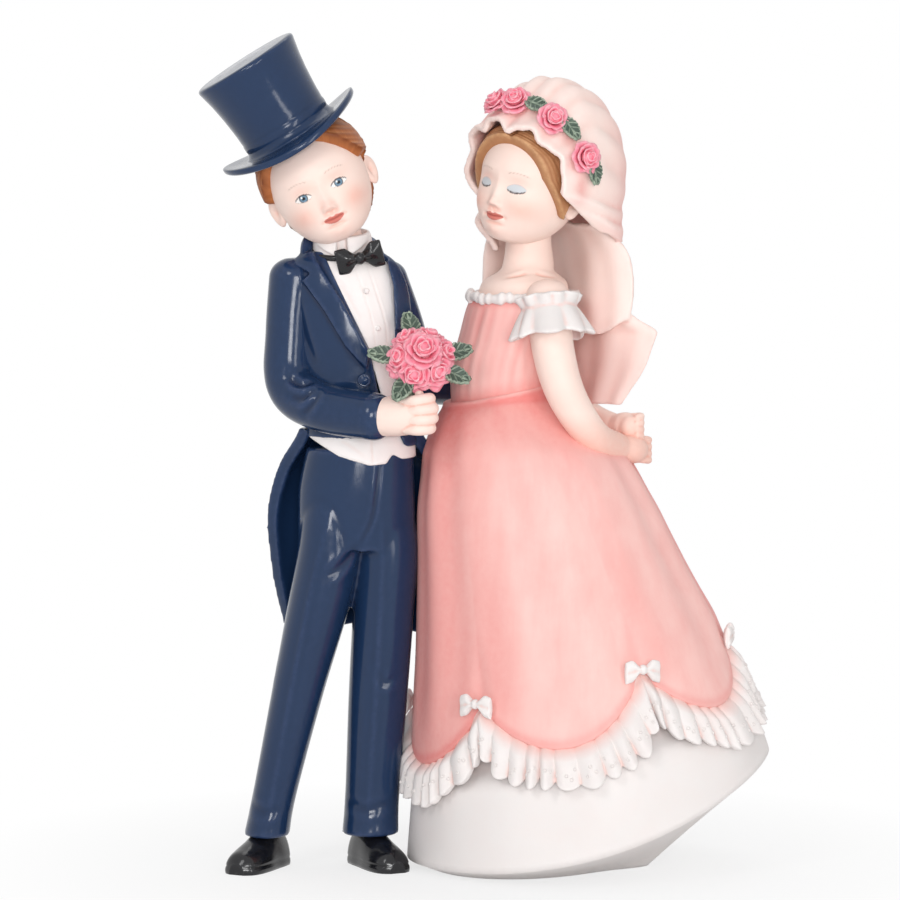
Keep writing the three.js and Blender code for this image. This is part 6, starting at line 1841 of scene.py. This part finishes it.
def bride_hairline(x, y, z):
    """How far a spot lies inside the bride's hair, a curtain from the parting to the ear."""
    curtain = y - np.interp(z, [-4.6, -3.8, 1.9, 5.6, 8.2, 9.8], [0.0, -1.5, -6.5, -8.2, -9.5, -12.0])
    curtain = np.minimum(curtain, z + mix(4.4, 0.5, step(2.0, 5.0, y)))
    return np.minimum(curtain, 2.4 * (np.hypot((y - 1.5) / 1.9, (z + 2.7) / 1.8) - 1))


def bride_locks(x, y, z, angle):
    """Relief of smooth bands that run back from the parting along the hairline."""
    across = (
        y - np.interp(z, [-4.6, 1.7, 5.0, 9.0], [0.0, -6.5, -8.2, -12.0])
        + 0.2 * np.sin(0.7 * z + 0.3 * x))
    band = np.abs(np.sin(1.1 * across)) ** 0.6
    parting = np.exp(-((x / 0.6) ** 2)) * step(5.0, 8.0, z)
    return 0.16 * (band - 0.5) + 0.08 * np.abs(np.sin(4.6 * across)) - 0.5 * parting


class TOPPER_OT_bride_head(bpy.types.Operator):
    """Models the bride's head and the smooth hair"""

    bl_idname = "topper.bride_head"
    bl_label = "Bride's head"

    def execute(self, context):
        head = moved(head_mesh(True, (1,)), *BRIDE_HEAD)
        piece("bride_head_visual", head, finish("face_paint"), "skin_paint", "bride_head")
        hair = moved(hair_mesh(bride_hairline, size("hair_thickness"), bride_locks), *BRIDE_HEAD)
        piece("bride_hair_visual", hair, finish("brown_hair"), "brown_paint", "bride_hair")
        return {"FINISHED"}


# Hood of the veil in the head's own frame, and its train about the bride, in millimetres.
HOOD_RIM = np.array([11.0, -10.3, 8.6])
HOOD_PUFF = np.array([13.2, 16.44, 19.0])
HOOD_LEG, HOOD_EAR_DROP = 13.0, 4.6
RIM_WAVE, RIM_LOBES = 1.6, 5
TRAIN_TOP = NECKLINE_HEIGHT + 12.6
TRAIN_LENGTH, TRAIN_RADIUS = 32.0, 20.0


def on_hood(u, v):
    """Spots of the hood in the head's frame: u runs along its rim and v from the rim to the back."""
    far, near, puffed = 0.2, 0.14, 0.4
    left, right = np.maximum(0, 1 - u / far), np.maximum(0, (u - 1) / near + 1)
    arch = np.clip((u - far) / (1 - far - near), 0, 1)
    side = np.cos(math.pi * arch)
    swept = size("head_depth") * (
        mix(0.24, 0.33, step(-1.0, 1.0, side)) * side**2 + 0.33 * left + 0.5 * right)
    puff = np.sin(math.pi / 2 * np.minimum(1, v / puffed))
    behind = np.maximum(0, v - puffed) / (1 - puffed)
    full = np.sqrt(np.clip(1 - behind**3, 0, 1))
    rim = np.maximum(0, 1 - v / 0.35) ** 2
    lobes = 0.5 * np.cos(2 * math.pi * RIM_LOBES * (arch - 0.2)) + np.abs(side)
    lobes = (
        lobes + 0.16 * np.cos(2 * math.pi * 2.2 * RIM_LOBES * arch + 1.0)
        + 0.4 * np.exp(-((v / 0.04) ** 2)))
    wave = RIM_WAVE * rim * lobes * (1 - side**8) * (1 + 0.3 * side)
    waisted = 3.6 * np.exp(-(((left - 0.42) / 0.18) ** 2)) + 4.8 * step(0.6, 1.0, left)
    flared = 1.0 * rim * np.exp(-(((u - far) / 0.05) ** 2)) + 1.5 * right * mix(0.6, 0.0, v)
    across = mix(HOOD_RIM[0], HOOD_PUFF[0], puff) * full + wave + flared - waisted * mix(1.0, 0.4, v)
    rise = mix(HOOD_RIM[2], HOOD_PUFF[2], puff) * full + wave
    drop = left * HOOD_LEG * mix(1, 0.5, v) + right * HOOD_EAR_DROP * mix(0.9, 1.6, v)
    y = mix(HOOD_RIM[1] + swept, HOOD_PUFF[1], v)
    return stacked(-side * across, y, np.sin(math.pi * arch) * rise - drop)


class TOPPER_OT_veil(bpy.types.Operator):
    """Drapes the hood and the two tiers of the veil's train"""

    bl_idname = "topper.veil"
    bl_label = "Veil"

    def execute(self, context):
        thick = size("veil_thickness")

        def hood_place(u, v):
            spots = on_hood(u, v)
            gather = np.sin(2 * math.pi * (15 * u + 0.25 * np.sin(5 * v + 9 * u)))
            fold = 0.26 * gather * step(0.03, 0.16, v) * step(1.0, 0.45, v)
            spots[:, 0] += fold * np.sign(spots[:, 0])
            spots[:, 2] += fold
            return spots

        hood = cast([thickened(warped(340, 110, hood_place), thick)], VEIL_GRAIN, 2)
        # Coral on the hood deepens towards its back and in a band behind the rim under the garland: painted
        # shade on the back, which faces away from the front lamps, and between the roses and the hood.
        spots = read(hood)
        side = spots[:, 0] / np.hypot(spots[:, 0], spots[:, 2])
        behind_rim = spots[:, 1] - HOOD_RIM[1] - 0.28 * size("head_depth") * side**2
        shade_behind_rim = np.exp(-(((behind_rim - 2.8) / 1.4) ** 2)) * step(-3.0, 2.0, spots[:, 2])
        keep(hood, "tint_and_shade", np.clip(0.45 * step(2.0, 13.0, spots[:, 1]) + 0.5 * shade_behind_rim, 0, 1))
        moved(hood, *BRIDE_HEAD)
        piece("veil_hood_visual", shaded(hood, 0.9), finish("veil_pink"), "veil_paint", "veil_hood")

        tiers = [thickened(warped(200, 110, tier), thick) for tier in (self.upper_tier, self.lower_tier)]
        train = cast(tiers, VEIL_GRAIN, 2)
        # The train turns pinker from below the upper tier's edge downwards.
        keep(train, "tint_and_shade", 0.16 * step(101.0, 88.0, read(train)[:, 2]))
        piece("veil_train_visual", shaded(train, 0.9), finish("veil_pink"), "veil_paint", "veil_train")
        return {"FINISHED"}

    def upper_tier(self, u, v):
        """Upper tier from the gathers at the nape to its scalloped edge."""
        lower_edge = spline([[97.8], [94.9], [96.0], [99.4], [97.2], [98.6]], u)[:, 0]
        height = mix(TRAIN_TOP + 3.0 * step(0.25, 0.6, u), lower_edge + 3.0 * step(0.8, 1.0, u), v)
        gathers = 6.0 * np.exp(-np.maximum(0, TRAIN_TOP - height) / (0.06 * TRAIN_LENGTH))
        spots = self.round_bride(u, height, -gathers, -0.3 * v)
        spots[:, 1] -= 0.6 * gathers * step(0.2, 0.7, u)
        spots[:, 0] += 0.6 * gathers * u**4
        return spots

    def lower_tier(self, u, v):
        """Lower tier from under the upper one down, with a pointed corner on its near edge."""
        lower_edge = TRAIN_TOP - TRAIN_LENGTH + 0.6 * np.sin(5 * math.pi * u) * u + 4.0 * step(0.75, 1.0, u)
        height = mix(mix(98.4, 101.5, step(0.0, 0.3, u)), lower_edge, v)
        down = (TRAIN_TOP - height) / TRAIN_LENGTH
        corner = 4.8 * step(0.49, 0.6, down) * np.clip((1 - down) / 0.4, 0, 1)
        return self.round_bride(u, height, corner, 0.8)

    def round_bride(self, u, height, reach, proud):
        """Spots behind the bride from the near edge round the back, which reach out and stand proud."""
        down = np.maximum(0, TRAIN_TOP - height) / TRAIN_LENGTH
        share = spline([[0.95], [1.02], [1.03], [0.98], [0.98], [0.9]], down)[:, 0]
        out = (TRAIN_RADIUS * (share - 1) + reach) * (1 - u) ** 3
        deep = mix(0.4, 0.9, step(0.3, 0.6, u))
        fold = deep * np.sin(6 * math.pi * u + 0.8 * down) + 0.25 * np.sin(13 * math.pi * u + 3 * down)
        fold = fold * np.sqrt(down) + proud
        x = mix(18.0, -8.0, u) + out + 0.5 * fold
        y = mix(-1.0, 19.4, step(0.02, 0.74, u)) - 5.0 * step(0.72, 1.0, u) - 0.2 * out + 0.85 * fold
        return BRIDE + stacked(x, y, height)


class TOPPER_OT_garland(bpy.types.Operator):
    """Sets the roses and leaves along the rim of the veil"""

    bl_idname = "topper.garland"
    bl_label = "Garland"

    def execute(self, context):
        flower, green, rise = size("veil_rose"), size("veil_leaf"), size("veil_thickness") / 2 + 0.35
        for k, (u, v) in enumerate(((0.46, 0.085), (0.507, 0.115), (0.632, 0.115), (0.76, 0.165))):
            spot, outward = self.stand(u, v)
            turn = BRIDE_HEAD[0] @ towards((0, 0, 1), outward)
            place = BRIDE_HEAD[0] @ (spot + outward * (rise + 0.25 * flower)) + BRIDE_HEAD[1]
            bloom = moved(rose(flower, 70 + k), turn, place)
            name = f"veil_rose_{k + 1}"
            piece(name + "_visual", bloom, finish("rose_pink"), "rose_paint", name)
        for k, (u, v) in enumerate(((0.573, 0.123), (0.679, 0.154), (0.791, 0.227))):
            spot, outward = self.stand(u, v)
            turn = towards((0, 0, 1), outward)
            stalk = spot + outward * (rise + 0.11 * green) - turn @ np.array([0.4 * green, 0, 0])
            blade = moved(leaf(green), BRIDE_HEAD[0] @ turn, BRIDE_HEAD[0] @ stalk + BRIDE_HEAD[1])
            name = f"veil_leaf_{k + 1}"
            piece(name + "_visual", blade, finish("leaf_green"), "leaf_paint", name)
        return {"FINISHED"}

    def stand(self, u, v):
        """Spot on the hood and the direction outwards there."""
        step_size = 0.01
        us = np.array([u, u + step_size, u - step_size, u, u])
        vs = np.array([v, v, v, v + step_size, v - step_size])
        spot, after, before, inner, outer = on_hood(us, vs)
        outward = np.cross(after - before, inner - outer)
        outward = outward / np.linalg.norm(outward)
        return spot, outward * np.sign(outward @ spot)


WHITE = (1.0, 1.0, 1.0, 1.0)

# Lamps: place, span across and upwards in millimetres, and power in watts.
LAMPS = {
    "key_lamp": ((-400.0, -660.0, 560.0), 200.0, 240.0, 1.15),
    "fill_lamp": ((420.0, -830.0, 210.0), 150.0, 480.0, 1.5),
    "front_lamp": ((20.0, -960.0, 220.0), 240.0, 240.0, 2.8),
    "top_lamp": ((60.0, 260.0, 760.0), 520.0, 520.0, 0.9),
}
LAMP_AIM = (-3.0, 0.0, 78.0)
WORLD_FILL = 0.49

# Half width of the floor, and where it fades to plain white from a share of white, in metres.
FLOOR_REACH = 6.0
FLOOR_FADE_START = 0.03
FLOOR_FADE_END = 0.1
FLOOR_WHITE_NEAR = 0.72

# Camera, in millimetres and degrees.
CAMERA_TARGET = (-6.7, 0.0, 74.4)
CAMERA_DISTANCE = 900.0
CAMERA_ELEVATION = 5.0
CAMERA_LENS = 202.2
SENSOR_WIDTH = 36.0


def lamp(name, spot, span, tall, watts):
    """Soft lamp of a span across and upwards that looks at the figures, in millimetres."""
    light = bpy.data.lights.new(name, "AREA")
    light.shape = "RECTANGLE"
    light.size = span * MM
    light.size_y = tall * MM
    light.energy = watts
    made = bpy.data.objects.new(name, light)
    made.location = Vector(spot) * MM
    made.rotation_euler = (Vector(LAMP_AIM) - Vector(spot)).to_track_quat("-Z", "Y").to_euler()
    bpy.context.scene.collection.objects.link(made)


def seen_ray(tree):
    """1 for rays that show the backdrop: from the camera, off gloss and through glass."""
    rays = node(tree, "ShaderNodeLightPath").outputs
    first = node(tree, "ShaderNodeMath", {"operation": "MAXIMUM"})
    tree.links.new(rays["Is Camera Ray"], first.inputs[0])
    tree.links.new(rays["Is Transmission Ray"], first.inputs[1])
    both = node(tree, "ShaderNodeMath", {"operation": "MAXIMUM"})
    tree.links.new(first.outputs[0], both.inputs[0])
    tree.links.new(rays["Is Glossy Ray"], both.inputs[1])
    return both.outputs[0]


class TOPPER_OT_stage(bpy.types.Operator):
    """Lays the white floor, hangs the soft lamps and sets the camera"""

    bl_idname = "topper.stage"
    bl_label = "Stage"

    def execute(self, context):
        scene = context.scene
        scene.view_settings.view_transform = "Standard"
        bm = bmesh.new()
        bmesh.ops.create_grid(bm, x_segments=2, y_segments=2, size=FLOOR_REACH)
        ground = bpy.data.meshes.new("studio_floor")
        bm.to_mesh(ground)
        bm.free()
        board = bpy.data.materials.new("studio_white")
        board.use_nodes = True
        tree = board.node_tree
        tree.nodes.clear()
        matt = node(tree, "ShaderNodeBsdfDiffuse", Color=colour("floor"))
        bare = node(tree, "ShaderNodeEmission", Color=WHITE, Strength=1.0)
        away = node(tree, "ShaderNodeVectorMath", {"operation": "LENGTH"})
        tree.links.new(node(tree, "ShaderNodeTexCoord").outputs["Object"], away.inputs[0])
        faded = level(
            tree, away.outputs["Value"], FLOOR_FADE_START, FLOOR_FADE_END, FLOOR_WHITE_NEAR, 1.0)
        backdrop = node(tree, "ShaderNodeMixShader", Fac=product(tree, faded, seen_ray(tree)))
        tree.links.new(matt.outputs[0], backdrop.inputs[1])
        tree.links.new(bare.outputs[0], backdrop.inputs[2])
        node(tree, "ShaderNodeOutputMaterial", Surface=backdrop.outputs[0])
        ground.materials.append(board)
        floor = bpy.data.objects.new("studio_floor", ground)
        scene.collection.objects.link(floor)

        world = bpy.data.worlds.new("studio")
        scene.world = world
        world.use_nodes = True
        tree = world.node_tree
        tree.nodes.clear()
        fill = node(tree, "ShaderNodeBackground", Color=WHITE, Strength=WORLD_FILL)
        white = node(tree, "ShaderNodeBackground", Color=WHITE, Strength=1.0)
        both = node(tree, "ShaderNodeMixShader", Fac=seen_ray(tree))
        tree.links.new(fill.outputs[0], both.inputs[1])
        tree.links.new(white.outputs[0], both.inputs[2])
        node(tree, "ShaderNodeOutputWorld", Surface=both.outputs[0])

        for name, (spot, span, tall, watts) in LAMPS.items():
            lamp(name, spot, span, tall, watts)

        view = bpy.data.cameras.new("front_camera")
        view.sensor_width = SENSOR_WIDTH
        view.lens = CAMERA_LENS
        camera = bpy.data.objects.new("front_camera", view)
        lift = math.radians(CAMERA_ELEVATION)
        offset = Vector((0, -math.cos(lift), math.sin(lift))) * CAMERA_DISTANCE
        camera.location = (Vector(CAMERA_TARGET) + offset) * MM
        camera.rotation_euler = (math.pi / 2 - lift, 0.0, 0.0)
        scene.collection.objects.link(camera)
        scene.camera = camera
        return {"FINISHED"}


PIECE_OPERATORS = (
    TOPPER_OT_hat,
    TOPPER_OT_groom_head,
    TOPPER_OT_coat,
    TOPPER_OT_sleeves,
    TOPPER_OT_shirt,
    TOPPER_OT_trousers,
    TOPPER_OT_shoes,
    TOPPER_OT_groom_hands,
    TOPPER_OT_posy,
    TOPPER_OT_skirts,
    TOPPER_OT_hem,
    TOPPER_OT_bodice,
    TOPPER_OT_bride_body,
    TOPPER_OT_bride_head,
    TOPPER_OT_veil,
    TOPPER_OT_garland,
    TOPPER_OT_stage,
)


class TOPPER_PT_sidebar(bpy.types.Panel):
    """Buttons that model each piece of the topper, with its paints and sizes"""

    bl_idname = "TOPPER_PT_sidebar"
    bl_label = "Wedding Cake Topper"
    bl_space_type = "VIEW_3D"
    bl_region_type = "UI"
    bl_category = "Topper"

    def draw(self, context):
        column = self.layout.column(align=True)
        for operator in PIECE_OPERATORS:
            column.operator(operator.bl_idname)
        for group in (context.scene.topper_paints, context.scene.topper_sizes):
            fields = self.layout.column(align=True)
            for name in group.bl_rna.properties.keys():
                if name not in ("rna_type", "name"):
                    fields.prop(group, name)


CLASSES = (TopperPaints, TopperSizes, *PIECE_OPERATORS, TOPPER_PT_sidebar)


def register():
    """Adds the property groups, operators and panel."""
    for made in CLASSES:
        bpy.utils.register_class(made)
    bpy.types.Scene.topper_paints = bpy.props.PointerProperty(type=TopperPaints)
    bpy.types.Scene.topper_sizes = bpy.props.PointerProperty(type=TopperSizes)


def unregister():
    """Removes what register added."""
    del bpy.types.Scene.topper_sizes
    del bpy.types.Scene.topper_paints
    for made in reversed(CLASSES):
        bpy.utils.unregister_class(made)


def main():
    """Models every piece in order."""
    register()
    bpy.ops.topper.hat()
    bpy.ops.topper.groom_head()
    bpy.ops.topper.coat()
    bpy.ops.topper.sleeves()
    bpy.ops.topper.shirt()
    bpy.ops.topper.trousers()
    bpy.ops.topper.shoes()
    bpy.ops.topper.groom_hands()
    bpy.ops.topper.posy()
    bpy.ops.topper.skirts()
    bpy.ops.topper.hem()
    bpy.ops.topper.bodice()
    bpy.ops.topper.bride_body()
    bpy.ops.topper.bride_head()
    bpy.ops.topper.veil()
    bpy.ops.topper.garland()
    bpy.ops.topper.stage()


if __name__ == "__main__":
    main()
